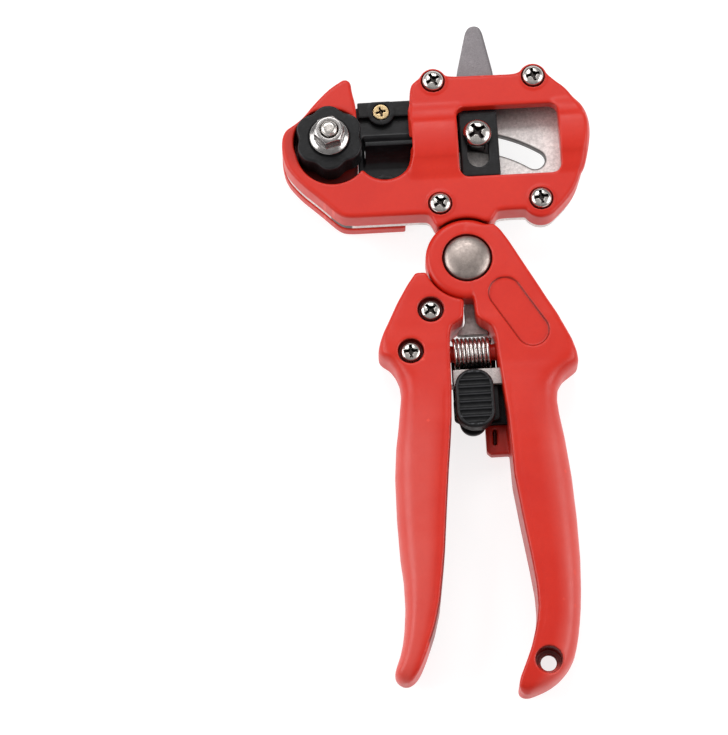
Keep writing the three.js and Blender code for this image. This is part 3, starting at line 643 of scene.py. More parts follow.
def plate_look(name, tone=(226, 219, 215), dark=(168, 162, 160), grain=0.5):
    """Blasted plate: a fine grain of pits over slow clouds, with a few dark specks."""
    k = Look(name, metallic=0.72)
    base = k.mix(k.patches(0.32, 0.68, grain, 5, 0.72), linear(*dark), linear(*tone))
    base = k.mix(k.patches(0.35, 0.7, 7, 4, 0.6, top=0.55), base,
                 linear(*(int(c * 0.80) for c in tone)))
    specks = k.patches(0.62, 0.68, 2.2, 6, 0.85, top=0.75)
    base = k.mix(specks, base, linear(70, 66, 66))
    k.colour(base)
    k.roughness(k.spread(k.noise(grain * 1.4, 4, 0.7), 0.3, 0.7, 0.36, 0.58))
    k.bumps((k.noise(grain, 5, 0.7), 0.03, 0.6), (k.noise(5, 2), 0.06, 0.2))
    return k


def slotted_steel():
    """The frame's plate with painted shade: a dark line round the rim of its arc slot, a painted shadow in
    the top left of the window and darker down the neck.
    """
    k = plate_look("frame_plate_steel", (252, 246, 243), (200, 194, 191), 0.8)
    flat = k.node("ShaderNodeVectorMath", operation="MULTIPLY")
    flat.inputs[1].default_value = (1000, 1000, 0)
    k.link(k.place, flat.inputs[0])

    def measure(operation, point=None):
        n = k.node("ShaderNodeVectorMath", operation=operation)
        k.link(flat.outputs[0], n.inputs[0])
        if point:
            n.inputs[1].default_value = (*point, 0)
        return n.outputs["Value"]

    last = CAM_DEG - OPENING - 0.6
    along = k.times(k.times(measure("LENGTH"), CAM_R, "SUBTRACT"), 0.0, "ABSOLUTE")
    cap = measure("DISTANCE", polar(CAM_R, last))
    beyond = k.times(measure("DOT_PRODUCT", polar(1, last + 90)), 0.0, "LESS_THAN")
    away = k.times(k.times(cap, beyond), k.times(along, k.times(1.0, beyond, "SUBTRACT")), "ADD")
    # painted shade: a dark line just outside the arc slot's rim
    rim = k.spread(away, 3.35, 3.75, 0.86, 0.0)
    old = k.shader.inputs["Base Color"].links[0].from_socket
    split = k.node("ShaderNodeSeparateXYZ")
    k.link(flat.outputs[0], split.inputs["Vector"])
    # painted shadow in the window's top left corner, under its edge and the slider
    corner_shadow = k.times(k.spread(split.outputs["Y"], 42.5, 49, 0, 0.75),
                     k.spread(split.outputs["X"], 27, 12, 0, 1))
    # painted shade darkening the plate down its neck
    neck_shade = k.spread(split.outputs["Y"], -11, -15, 0, 0.55)
    old = k.mix(k.times(corner_shadow, neck_shade, "ADD"), old, linear(74, 62, 58))
    k.colour(k.mix(rim, old, linear(48, 44, 44)))
    return k.m


def nickel(name="bright_nickel", tone=(226, 220, 214), rough=(0.16, 0.30), dulled=0.35,
           relief=1.0):
    """Bright plating over stamped steel, with hairline scratches and a brushed top."""
    k = Look(name, metallic=1.0)
    base = k.mix(k.patches(0.35, 0.7, 1.5, 5, 0.65), linear(*tone),
                 linear(*(int(c * 0.84) for c in tone)))
    base = k.mix(k.times(k.patches(0.52, 0.66, 0.5, 6, 0.75, distort=0.5), dulled),
                 base, linear(120, 112, 106))
    # painted shade: darkened inside the cross recess of a screw head
    k.colour(k.mix(k.times(k.marked("painted_shade"), 0.93), base, linear(38, 30, 28)))
    k.roughness(k.spread(k.noise(0.9, 5, 0.7), 0.3, 0.7, *rough))
    k.bumps((k.noise(0.35, 4, 0.7, stretch=(1, 0.2, 1)), 0.008, 0.5 * relief),
            (k.noise(2.4, 3), 0.03, 0.25 * relief))
    return k.m


RED, BLACK, BLACK_STEEL = red_plastic(), black_plastic(), black_steel()
# matt black for the backing that stands in for shade behind the latch
DEEP_BLACK = black_plastic("deep_black_plastic", 0.12)
STEEL = plate_look("plate_steel").m
FRAME_STEEL = slotted_steel()
DARK_STEEL = plate_look("dark_plate_steel", (150, 146, 146), (98, 95, 95), 0.45).m
TIP_STEEL = plate_look("tip_steel", (142, 137, 139), (116, 111, 114), 0.35).m
NICKEL = nickel()
BRIGHT = nickel("spring_nickel", (226, 223, 220), (0.2, 0.3), 0.1, 0.35)
DOME = nickel("rivet_nickel", (176, 163, 156), (0.34, 0.50), 0.45)
NUT = nickel("nut_nickel", (184, 180, 178), (0.2, 0.28), 0.05, 0.15)
BRASS = nickel("brass", (214, 186, 140), (0.2, 0.34), 0.3)


def finish(obj, body, look, slot, *nodes):
    obj.data.materials.clear()
    obj.data.materials.append(look)
    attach(obj, body)
    if nodes:
        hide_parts(*nodes)
    return obj


def points_of(obj):
    """The x, y and z of an object's points, in millimetres."""
    points = np.empty(len(obj.data.vertices) * 3, np.float32)
    obj.data.vertices.foreach_get("co", points)
    return (points.reshape(-1, 3) / MM).T


def mark(obj, name, values):
    layer = obj.data.attributes.new(name, "FLOAT", "POINT")
    layer.data.foreach_set("value", values.astype(np.float32))


def shade(obj, painted_shade):
    """Marks painted shade on the points that lie inside a hollow or along a shadowed edge, to darken them
    where shadow falls.
    """
    mark(obj, "painted_shade", np.clip(1.3 - painted_shade(*points_of(obj)) * 7, 0, 1))


# ---- head shells ----

def front_shell():
    x, y, z, place = grid((-54, 9.5, SHELL_LOW), (39.4, 62, BAND_HIGH), 0.38)
    head = region(x, y, head_outline())
    body = slab(head, z, SHELL_LOW, SHELL_HIGH, 1.1, 0.3)
    side = region(y, z, soften(
        [(26.2, 12), (27.4, 15.8), (31, 17), (33.4, BAND_HIGH), (43.2, BAND_HIGH), (45.2, 17),
         (48.6, 15.8), (49.6, 12)], 3.0))
    bands = np.minimum(np.abs(x + 7.35) - 7.65, 29.6 - x)
    body = either(body, both(both(side, bands, 0.6), head, 1.1), 2.2)
    for at in HEAD_SCREWS:
        body = either(body, slab(disc(x, y, at, 4.1), z, 12, SHELL_HIGH + 0.4, 0.35), 0.5)
    body = without(body, disc(x, y, (0, 0), RING_R + 0.4), 0.6)
    pocket = both(stadium(x, y, WHEEL, POCKET_END, POCKET_R), 8.8 - z)
    body = without(body, without(pocket, both(disc(x, y, WHEEL, 5), z - 9.9)), 0.45)
    body = without(body, region(x, y, rounded_box(-0.5, 30.4, 26, 48.6, 2.8)), 0.55)
    lip = BLADE_HALF + 0.4
    body = without(body, brick(x, y, z, -31.3, 30.8, BLADE_Y - lip, BLADE_Y + lip, 6, 12.1))
    tunnel = region(y - BLADE_Y, z, ridge_side(6.0, 11.9, 17.7, 1.5))
    body = without(body, both(tunnel, np.abs(x + 9.5) - 10.5), 0.3)
    body = drilled(body, x, y, HEAD_SCREWS, 3.6, SHELL_HIGH - 0.6 - z, 0.2)
    body = drilled(body, x, y, HEAD_SCREWS, 1.8)
    body = drilled(body, x, y, REAR_SCREWS, 1.6, z - 12.4)
    body = drilled(body, x, y, [WHEEL], BOLT_R + 0.3)
    obj = net("head_front_shell", body, place)

    # painted shade on the screw counterbores, the wheel's pocket and the lap around the ring
    def painted_shade(px, py, pz):
        rings = np.minimum.reduce([disc(px, py, at, 3.52) for at in HEAD_SCREWS])
        rim = np.maximum(rings, pz - SHELL_HIGH - 0.25)
        well = np.maximum(stadium(px, py, WHEEL, POCKET_END, POCKET_R + 0.2), (pz - 12) * 0.1)
        lap = np.maximum(disc(px, py, (0, 0), RING_R + 0.55), pz - 14.6)
        return np.minimum.reduce([rim, well, lap])

    shade(obj, painted_shade)
    return finish(obj, "frame", RED, "red_plastic", "front_shell")


def ridge_side(half_foot, foot, crest, half_crest, steps=10):
    flank = [(half_foot + (half_crest - half_foot) * (1 - (1 - t / steps) ** 2.2),
              foot + (crest - foot) * t / steps) for t in range(steps + 1)]
    return flank + [(-a, b) for a, b in reversed(flank)]


def rear_shell():
    x, y, z, place = grid((-54, 14, 0), (-17.6, 60, 4.8), 0.38)
    body = slab(region(x, y, head_outline()), z, 0, 4.8, 0.25, 1.1)
    body = both(body, x + 17.6, 0.4)
    body = without(body, disc(x, y, WHEEL, BOLT_R + 0.3))
    body = without(body, both(hexagon(x, y, 6.1, WHEEL, 30), z - 3.9), 0.25)
    body = drilled(body, x, y, REAR_SCREWS, 1.6)
    body = drilled(body, x, y, REAR_SCREWS, 3.1, z - 2.2, 0.3)
    return finish(net("head_rear_shell", body, place), "frame", RED, "red_plastic", "rear_shell")


# ---- steel plates ----

def frame_tang():
    return ([(-2.5, 18), (-4.5, 12)] + arc((0, 0), HUB_R, 112, 250, 30)
            + soften([(-1.7, -12), (-1.6, -18.6), (-4.2, -21), (-4.2, -22), (5.2, -22),
                      (5, -20.8), (2.4, -17.2), (8.6, -17.6), (12.5, -28), (13.2, -45),
                      (14.5, -62), (19.5, -62), (20.5, -45), (21.5, -30), (16, -15)], 0.8)[1:-1]
            + arc((0, 0), HUB_R, -32, 42, 16) + [(10.2, 18)])


def lever_outline():
    return ([(8.4, 79.6), (6.4, 79.6), (3.4, 66), (1.4, 48), (-0.6, 34), (-3.6, 20), (-6, 11)]
            + arc((0, 0), HUB_R, 122, 190, 16)
            + [(-16.5, -8), (-21.5, -19), (-22.3, -30), (-19.3, -40), (-19.8, -62), (-15.5, -62),
               (-12.2, -42), (-11.5, -28), (-10, -14)]
            + arc((0, 0), HUB_R, 244, 412, 40) + [(9.8, 18), (11.2, 36), (11.3, 52), (10.6, 66)])


def tip_outline():
    return soften([(-0.2, 55), (12.6, 55), (12, 63.4), (9.6, 76.6), (8.4, 78.6), (5.8, 78.6),
                   (4.4, 76.8), (1, 63.4)], 0.7)


def ground_face(x, y, rise, at, turn, lean, side):
    """How far a point lies above a cutting edge's slanted face, which runs through one place."""
    turn, lean = math.radians(turn), math.radians(lean)
    across = side * ((x - at[0]) * math.cos(turn) + (y - at[1]) * math.sin(turn))
    return rise * math.cos(lean) + across * math.sin(lean)


def frame_plate():
    head, tang, slot = head_outline(), frame_tang(), arc_slot(3.1, 0.6)

    def field(x, y):
        d = either(region(x, y, head) + 0.35, region(x, y, tang), 0.8)
        d = drilled(without(d, region(x, y, slot)), x, y, [(0, 0)], 4.3)
        d = drilled(drilled(d, x, y, [WHEEL], BOLT_R + 0.3), x, y, HEAD_SCREWS, 1.8)
        return drilled(d, x, y, REAR_SCREWS, 1.6)

    obj = plate("frame_steel", field, (-54, -62.5), (39, 62.5), PLATE_LOW, PLATE_HIGH, 0.22, 0.45)
    finish(obj, "frame", FRAME_STEEL, "plate_steel", "frame_plate")
    x, y, z, place = grid((-1, 54, PLATE_LOW), (13, 78.6, PLATE_HIGH), 0.2)
    tip = slab(region(x, y, tip_outline()), z, PLATE_LOW, PLATE_HIGH, 0.16, 0.1)
    ground = ground_face(x, y, z - PLATE_HIGH - 0.2, (10.6, 70), 10.5, 38, 1)
    finish(net("pruner_fixed_blade", both(tip, ground + 0.28, 0.12), place), "frame", TIP_STEEL,
           "plate_steel")


def pruning_lever():
    outline = lever_outline()

    def field(x, y):
        d = drilled(both(region(x, y, outline), y - 57.0), x, y, [(0, 0)], 4.3)
        return drilled(drilled(d, x, y, [CAM], 2.8), x, y, GRIP_SCREWS, 1.9)

    obj = plate("lever_steel", field, (-23, -62.5), (12.5, 57), LEVER_LOW, LEVER_HIGH, 0.2, 0.45)
    finish(obj, "lever", DARK_STEEL, "plate_steel", "pruning_lever")
    x, y, z, place = grid((-1, 56, LEVER_LOW), (12, 79.6, LEVER_HIGH), 0.2)
    d = slab(region(x, y, soften(outline, 0.6)), z, LEVER_LOW, LEVER_HIGH, 0.1, 0.16)
    d = both(d, 56.4 - y)
    ground = ground_face(x, y, LEVER_LOW - 0.4 - z, (3.9, 66), -7.5, 35, -1)
    finish(net("pruner_moving_blade", both(d, ground + 0.1, 0.12), place), "lever", TIP_STEEL,
           "plate_steel")


# ---- hand grips ----

RIGHT_ROWS = [
    (10.6, 0, 8.6, 0.2, 15.4, 9), (9, -0.6, 10.4, 0.2, 15.4, 9), (5, -1, 12.9, 0.1, 15.5, 9),
    (-3, 0, 17.2, 0, 15.7, 9), (-11, 0.6, 21.6, 0, 15.8, 8), (-13.5, 1.2, 22.9, 0, 15.8, 8),
    (-18, 1.4, 25.4, 0, 15.9, 8), (-19.7, 2.3, 26.3, 0, 16, 8), (-20.8, 4.3, 26.8, 0, 16, 7),
    (-22, 5.9, 27.4, 0, 16, 7), (-24.4, 6.7, 28.5, 0, 16, 7), (-27, 7, 29.7, 0, 16, 7),
    (-31, 7.2, 31, 0, 16, 6), (-34, 7.5, 31.4, 0, 16, 5), (-35.3, 7.6, 29.7, 0, 16.1, 4),
    (-37.8, 7.8, 26.4, 0, 16.2, 3.6), (-41, 8.1, 24.6, 0, 16.4, 3.2), (-45, 8.4, 24.1, 0, 16.6, 3),
    (-49.5, 8.8, 24.5, 0, 16.8, 2.8), (-57, 9.1, 25.6, 0, 17, 2.6), (-69, 9.4, 26.8, 0, 17, 2.5),
    (-82, 11, 27.4, 0, 17, 2.5), (-94.4, 12.7, 27.5, 0, 16.8, 2.5),
    (-103, 13.7, 27.1, 0, 16.5, 2.6), (-109, 13.8, 26.6, 0, 16.2, 2.7),
    (-113.5, 13.2, 26, 0, 16, 2.8), (-117.6, 12.1, 25.3, 0, 15.8, 2.9),
    (-121, 11.1, 24.5, 0.1, 15.6, 2.9), (-124, 9.9, 23.6, 0.2, 15.4, 2.8),
    (-127, 8.6, 21.9, 0.5, 15.1, 3.3), (-130, 7.2, 19.2, 1, 14.6, 3.1),
    (-132.2, 6.7, 16.2, 1.8, 14, 2.9), (-133.8, 7.2, 12.6, 3.2, 13, 2.6),
    (-134.6, 8.2, 10.4, 5, 11, 2.2),
]
LEFT_ROWS = [
    (-3.8, -15.9, -9, 0.2, 15.2, 9), (-7.4, -18.6, -3, 0, 15.3, 9), (-13, -22, -1.9, 0, 15.3, 8),
    (-18.8, -24.9, -2.3, 0, 15.4, 8), (-20.1, -25.6, -4.4, 0, 15.4, 7),
    (-21.1, -26.2, -6.2, 0, 15.4, 7), (-24.3, -27.6, -6.8, 0, 15.5, 6),
    (-26.9, -28.4, -6.9, 0, 15.6, 5), (-28.8, -28.2, -7, 0, 15.6, 5),
    (-30.6, -25.5, -7.1, 0, 15.7, 4.6), (-33.3, -23.7, -7.1, 0, 15.8, 4.2),
    (-36.8, -22.6, -7.2, 0, 16, 3.2), (-40.7, -22.3, -7.3, 0, 16.2, 3),
    (-50.8, -23.7, -7.9, 0, 16.6, 2.7), (-57.4, -24.8, -8.6, 0, 16.6, 2.6),
    (-66.3, -25.6, -9.7, 0, 16.6, 2.5), (-79, -25.8, -11.1, 0, 16.5, 2.5),
    (-91.4, -25.5, -12.4, 0, 16.3, 2.5), (-98.2, -24.9, -13.4, 0, 16, 2.6),
    (-106.4, -24.9, -14.7, 0, 15.8, 2.7), (-113.2, -25.6, -16.5, 0.1, 15.6, 2.7),
    (-117.2, -26.3, -18, 0.2, 15.4, 2.6), (-120.6, -27.2, -19.3, 0.5, 15.1, 2.5),
    (-124.4, -28.7, -21, 1, 14.6, 2.4), (-126.2, -29.2, -22, 1.6, 14.1, 2.8),
    (-127.9, -28.8, -23.2, 2.8, 13.2, 2.6), (-129.3, -27.4, -24.8, 4.6, 11.6, 2.2),
]
INNER_SHARE = 0.42


def grip_field(rows, inner, x, y, z):
    """Sections lofted along Y; each row is y, left, right, rear, front and the outer squareness.

    The inner side (-1 left, 1 right) is nearly square; the outer side slopes broadly."""
    table = np.array(rows[::-1], float)
    line = y[0, :, 0].astype(float)
    fine = np.arange(line.min() - 4, line.max() + 4, 0.1)
    window = np.exp(-0.5 * (np.arange(-20, 21) * 0.1 / 0.6) ** 2)
    window /= window.sum()
    values = []
    for k in range(1, 6):
        v = np.interp(fine, table[:, 0], table[:, k])
        v = np.convolve(np.pad(v, 20, mode="edge"), window, mode="valid")
        values.append(np.interp(line, fine, v)[None, :, None])
    x0, x1, z0, z1, p = values
    p = np.where(p > 5, 3 * p - 10, p)
    wall, far = (x0, x1) if inner < 0 else (x1, x0)
    middle = wall + (far - wall) * INNER_SHARE
    hx, hz = np.abs(far - middle), (z1 - z0) / 2
    level = np.abs(z - (z0 + z1) / 2)
    crisp = both((x - wall) * inner, level - hz, 1.1)
    u = np.maximum((middle - x) * inner / hx, 1e-4)
    w = np.maximum(level / hz, 1e-4)
    norm = (u ** p + w ** p) ** (1 / p)
    slope = np.hypot(u ** (p - 1) / hx, w ** (p - 1) / hz) * norm ** (1 - p)
    d = np.where((x - middle) * inner > 0, crisp, (norm - 1) / slope)
    bead = np.exp(-((((wall - x) * inner - 1.9) / 0.4) ** 2))
    d = d + 0.2 * bead * np.clip((-40 - y) / 4, 0, 1) * np.clip((y + 118) / 4, 0, 1) * (z > 12)
    d = both(d, y - rows[0][0], 0.8)
    return both(d, rows[-1][0] - y, 1.0).astype(np.float32)


def walls(rows, inner, py):
    """A grip's inner wall and its far side at each place along Y."""
    table = np.array(rows[::-1], float)
    sides = [np.interp(py, table[:, 0], table[:, k]) for k in (1, 2)]
    return sides if inner < 0 else sides[::-1]


def mark_painted_sheen(obj, rows, inner, start, end):
    """Marks a painted sheen, a pale highlight laid on a grip's outer side, by how far its points lie out
    from its inner wall.
    """
    px, py, _ = points_of(obj)
    wall, far = walls(rows, inner, py)
    share = np.clip(((px - wall) / (far - wall) - start) / (end - start), 0, 1)
    mark(obj, "painted_sheen", share * share * (3 - 2 * share) * np.clip((-38 - py) / 22, 0, 1))


def spring_seat(x, y, z, middle):
    """The round peg that holds one end of the return spring."""
    return both(disc(y, z, (SPRING_Y, SPRING_Z), 2.5), np.abs(x - middle) - 2.9, 0.4)


def right_grip():
    x, y, z, place = grid((-12.7, -134.8, 0), (31.6, 12.8, 17.1), 0.42)
    d = grip_field(RIGHT_ROWS, -1, x, y, z)
    ring = slab(disc(x, y, (0, 0), RING_R), z, 7.8, 15.4, 1.9, 0.3)
    d = either(d, ring, 0.35)
    tab = region(x, y, [(3.6, -59.1), (12, -59.1), (12, -49.5), (2.4, -49.5), (2.4, -57.9)])
    d = either(d, slab(tab, z, 1.2, 4.6, 0.4, 0.3))
    d = either(d, spring_seat(x, y, z, 6.1), 0.3)
    hub = both(disc(x, y, (0, 0), HUB_R + 1.2), z - 7.8)
    d = without(d, hub, 0.2)
    d = without(d, brick(x, y, z, -30, 40, -8, 30, -5, 7.8), 0.2)
    tang = np.abs(z - 6.3) - 1.5
    d = without(d, both(region(x, y, frame_tang()) - TANG_GAP, tang))
    d = drilled(d, x, y, [(0, 0)], RIVET_R + 0.4, 14 - z, 0.3)
    d = drilled(d, x, y, [(0, 0)], 4.3)
    d = without(d, both(stadium(x, y, *OVAL), 15.2 - z, 0.25), 0.3)
    d = drilled(d, x, y, [HANG], 2.35)
    d = drilled(d, x, y, [HANG], 3.9, 10.7 - z, 0.5)
    d = without(d, both(stadium(x, y, (16.4, -121.6), (13.4, -127.6), 3.6), z - 9.2), 0.3)
    notch = both(stadium(x, y, *TAB_SLOT, 0.55), z - 6)
    d = without(d, both(notch, 2.4 - z), 0.15)
    d = without(d, brick(x, y, z, -6.8, 14.3, -39.3, -33.7, HOOK_HIGH, BUTTON_LOW))
    d = without(d, both(region(x, y, backing_outline()) - 0.3, np.abs(z - 6.3) - 1.2))
    obj = net("handle_right", d, place)

    # painted shade on the hang hole's upper side, the rivet recess, the tab slot, the oval's wall and the
    # inner flank
    def painted_shade(px, py, pz):
        hang = np.maximum(disc(px, py, HANG, 4.0), (HANG[1] + 0.8 - py) * 0.06)
        rim = np.maximum(disc(px, py, (0, 0), RIVET_R + 0.55), pz - 15.1)
        slot = np.maximum(stadium(px, py, *TAB_SLOT, 0.7), pz - 4.4)
        wall = np.abs(stadium(px, py, *OVAL) + 0.05) - 0.12
        groove = np.maximum(wall, 15.15 - pz) + 0.1
        flank = np.maximum(px - walls(RIGHT_ROWS, -1, py)[0] - 0.25, 0.14)
        flank = np.maximum(flank, np.maximum(py + 48, -118 - py) * 0.1)
        return np.minimum.reduce([hang, rim, slot, groove, flank])

    shade(obj, painted_shade)
    mark_painted_sheen(obj, RIGHT_ROWS, -1, 0.4, 0.8)
    return finish(obj, "frame", RED, "red_plastic", "right_grip")


def left_grip():
    x, y, z, place = grid((-29.6, -129.6, 0), (-0.5, -3, 16.7), 0.42)
    d = grip_field(LEFT_ROWS, 1, x, y, z)
    d = either(d, spring_seat(x, y, z, -6.1), 0.3)
    d = without(d, disc(x, y, (0, 0), RING_R + 0.6), 0.6)
    slot = np.abs(z - 3.6) - 1.5
    d = without(d, both(region(x, y, lever_outline()) - TANG_GAP, slot))
    d = drilled(d, x, y, GRIP_SCREWS, 1.8, 1 - z)
    d = drilled(d, x, y, GRIP_SCREWS, 3.9, 12.9 - z, 0.45)
    d = without(d, brick(x, y, z, -10.4, 0, -39.6, -37.5, 7.5, 9.6))
    obj = net("handle_left", d, place)

    # painted shade on the screw recesses and a dark line along the inner edge
    def painted_shade(px, py, pz):
        rings = np.minimum.reduce([disc(px, py, at, 4.0) for at in GRIP_SCREWS])
        rings = np.maximum.reduce([rings, pz - 15.0, 12.4 - pz])
        inner_edge_shade = np.maximum(walls(LEFT_ROWS, 1, py)[0] - 0.3 - px, 0.08)
        return np.minimum(rings, np.maximum(inner_edge_shade, np.maximum(py + 52, -117 - py) * 0.1))

    shade(obj, painted_shade)
    mark_painted_sheen(obj, LEFT_ROWS, 1, 0.1, 0.45)
    return finish(obj, "lever", RED, "red_plastic", "left_grip")


# ---- fasteners ----

def cross_recess(x, y, z, size, top, depth):
    """A cross driven into a screw head, its four wings tapering towards the bottom."""
    taper = (top - z) * 0.28
    u, v = np.abs(x), np.abs(y)
    wing = size * 0.2
    arms = np.minimum(np.maximum(u - size + taper, v - wing + taper * 0.3),
                      np.maximum(v - size + taper, u - wing + taper * 0.3))
    middle = (u + v) * 0.7071 - size * 0.46 + taper
    return both(np.minimum(arms, middle), (top - depth) - z, 0.05)


def screw_mesh(profile, size, depth, step):
    """A turned screw from its profile, with a cross of the given size sunk into its head."""
    head = max(r for r, _ in profile)
    low, top = (pick(height for _, height in profile) for pick in (min, max))
    x, y, z, place = grid_around((0, 0), head, low, top, step)
    body = without(turned(x, y, z, profile) + 0 * x, cross_recess(x, y, z, size, top, depth), 0.07)
    obj = net("screw", body, place)
    # painted shade inside the cross recess, lighter at the head's top
    shade(obj, lambda px, py, pz: cross_recess(px, py, pz, size, top, depth) + 0.25 * (pz > top - 0.2))
    return obj


def dome_profile(seat, head, height, shank, end, lip=0.38):
    """A pan head: an upright lip and a low dome, above a plain shank."""
    dome = [(head * cosine(a) ** 0.8, seat + height * lip + height * (1 - lip) * sine(a))
            for a in range(0, 91, 10)]
    return [(0, end), (shank * 0.6, end), (shank, end + 0.5), (shank, seat), (head * 0.97, seat),
            (head, seat + 0.12)] + dome


def copies(mesh_source, stem, places, body, look, slot, turns):
    """The same fastener at several places, each an object of its own with a different turn."""
    for i, (at, turn) in enumerate(zip(places, turns), 1):
        name = f"{stem}_{i}" if len(places) > 1 else stem
        mesh = mesh_source.data.copy()
        spin = Matrix.Rotation(math.radians(turn), 4, "Z")
        mesh.transform(Matrix.Translation((at[0] * MM, at[1] * MM, 0)) @ spin)
        mesh.name = "look_" + name
        finish(placed("look_" + name, mesh), body, look, slot, name)
    bpy.data.objects.remove(mesh_source)


def fasteners():
    seat = SHELL_HIGH - 0.3
    pan = screw_mesh(dome_profile(seat, 3.2, 2.2, 1.45, PLATE_LOW + 0.1), 2.2, 1.6, 0.13)
    copies(pan, "head_screw", HEAD_SCREWS, "frame", NICKEL, "bright_nickel", (28, 15, 35, 8))
    pan = screw_mesh(dome_profile(13.2, 3.1, 2.1, 1.5, 1.3), 2.15, 1.6, 0.13)
    copies(pan, "grip_screw", GRIP_SCREWS, "lever", NICKEL, "bright_nickel", (40, 2))
    cam = screw_mesh(dome_profile(YOKE_HIGH + 0.4, 4.4, 3.1, 1.65, 0.2, 0.3), 2.9, 2.2, 0.15)
    copies(cam, "cam_screw", [CAM], "lever", NICKEL, "bright_nickel", (32,))
    top = ARM_HIGH - 0.05
    flat = [(0, 7.9), (0.9, 7.9), (1.3, 8.4), (1.3, top - 1), (2.38, top - 0.2), (2.45, top - 0.12),
            (2.4, top), (0, top)]
    brass = screw_mesh(flat, 1.55, 0.9, 0.11)
    copies(brass, "blade_screw", BLADE_HOLES, "slide", BRASS, "brass", (12, 30, 50, 75))
    rear = [(0, 12.1), (0.7, 12.1), (1.3, 11.3), (1.3, 1.9), (2.8, 1.75)]
    rear += [(2.8 * cosine(a) ** 0.6, 1.15 - 0.65 * sine(a)) for a in range(0, 91, 15)]
    x, y, z, place = grid_around((0, 0), 2.8, 0.5, 12.1, 0.14)
    d = turned(x, y, z, rear[::-1]) + 0 * x
    d = without(d, cross_recess(x, y, -z, 1.5, -0.5, 0.9), 0.07)
    copies(net("rear", d, place), "rear_screw", REAR_SCREWS, "frame", NICKEL, "bright_nickel",
           (20, 55, 5))


def anvil_fastening():
    low, high = 0.4, 27.5
    x, y, z, place = grid_around(WHEEL, 5.6, low, high, 0.2)
    head = slab(hexagon(x, y, 5.6, WHEEL), z, low, 3.6, 0.2)
    r = disc(x, y, WHEEL, 0)
    head = both(head, (r - 5.6) * 0.5 + (low - z) * 0.85 + 0.1, 0.1)
    angle = np.arctan2(y - WHEEL[1], x - WHEEL[0]) / (2 * np.pi)
    thread = np.abs((z - angle) / 0.8 % 1.0 - 0.5) * 2
    threaded = np.clip((z - 19.6) * 2, 0, 1)
    shank = both(r - BOLT_R + 0.36 * thread * threaded, z - high, 1.1)
    body = either(head, both(shank, 2 - z), 0.2)
    finish(net("look_anvil_bolt", body, place), "frame", NICKEL, "bright_nickel", "anvil_bolt")

    low, high = 19.8, 26
    x, y, z, place = grid_around(WHEEL, 6, low, high, 0.16)
    nut = slab(hexagon(x, y, 4.72, WHEEL, 14), z, low, high, 0.1)
    r = disc(x, y, WHEEL, 0)
    nut = both(nut, (r - 3.9) * 0.6 + (z - high) * 0.8, 0.08)
    skirt = turned(x, y, z, [(0, low), (5.8, low), (6, 20), (6, 20.35), (5.75, 20.65), (4.7, 21.3),
                             (0, 21.6)], WHEEL)
    nut = either(nut, skirt, 0.25)
    nut = without(nut, r - BOLT_R - 0.2, 0.35)
    finish(net("look_anvil_nut", nut, place), "frame", NUT, "bright_nickel", "anvil_nut")


def anvil_wheel():
    """Six lobes; the notches between them are depth deep, and sharper than a plain wave."""
    tip, low, high, depth, sharp = 10.4, 10.2, 19.5, 1.2, 1.6
    x, y, z, place = grid_around(WHEEL, tip, low, high, 0.26)
    r = disc(x, y, WHEEL, 0)
    a = np.arctan2(y - WHEEL[1], x - WHEEL[0]) - np.pi / 2
    notch = (1 - np.cos(6 * a)) / 2
    radius = tip - depth * notch ** sharp
    rise = -depth * sharp * notch ** (sharp - 1) * 3 * np.sin(6 * a)
    flat = (r - radius) / np.sqrt(1 + (rise / np.maximum(r, 4)) ** 2)
    body = slab(flat, z, low, high, 0.6, 0.6)
    dish = turned(x, y, z, [(0, 19.3), (6.2, 19.3), (6.4, 19.6), (6.4, 21), (0, 21)], WHEEL)
    body = without(body, dish, 0.15)
    body = without(body, r - BOLT_R - 0.3, 0.4)
    finish(net("look_anvil_wheel", body, place), "anvil", BLACK, "black_plastic", "anvil_wheel")


# ---- slider, blade and cam ----

def slider():
    x, y, z, place = grid((ARM_END, 21.9, SHELL_LOW), (12, 53.3, YOKE_HIGH), 0.25)
    d = None
    for side in (1, -1):
        middle = BLADE_Y + side * (BLADE_HALF - 2.45)
        arm = brick(x, y, z, ARM_END, 1.2, middle - 2.45, middle + 2.45, ARM_LOW, ARM_HIGH, 0.25)
        for hx in HOLE_X:
            boss = disc(x, y, (hx, BLADE_Y + side * HOLE_OFF), 4.2)
            boss = slab(boss, z, ARM_LOW, ARM_HIGH, 0.25)
            arm = either(arm, both(boss, np.abs(y - BLADE_Y) - BLADE_HALF), 0.3)
        d = arm if d is None else either(d, arm)
    base = brick(x, y, z, 0.2, 12, 21.9, 53.3, SHELL_LOW, ARM_HIGH, 0.3)
    d = either(d, base, 0.3)
    raised = slab(region(x, y, rounded_box(0.2, 12, 26.7, 47.9, 0.8)), z, 10.8, YOKE_HIGH, 0.5)
    d = either(d, raised, 0.25)
    low = CAM_R * sine(CAM_DEG - OPENING)
    d = without(d, stadium(x, y, (CAM[0], low - 0.6), (CAM[0], CAM[1] + 0.6), 3.25), 0.35)
    for at in BLADE_HOLES:
        r = disc(x, y, at, 1.6)
        hole = np.minimum(r, both(r * 0.7 - (z - ARM_HIGH + 1.25) * 0.7, r - 1.15))
        d = without(d, hole, 0.12)
    finish(net("look_slider", d, place), "slide", BLACK, "black_plastic", "slider")


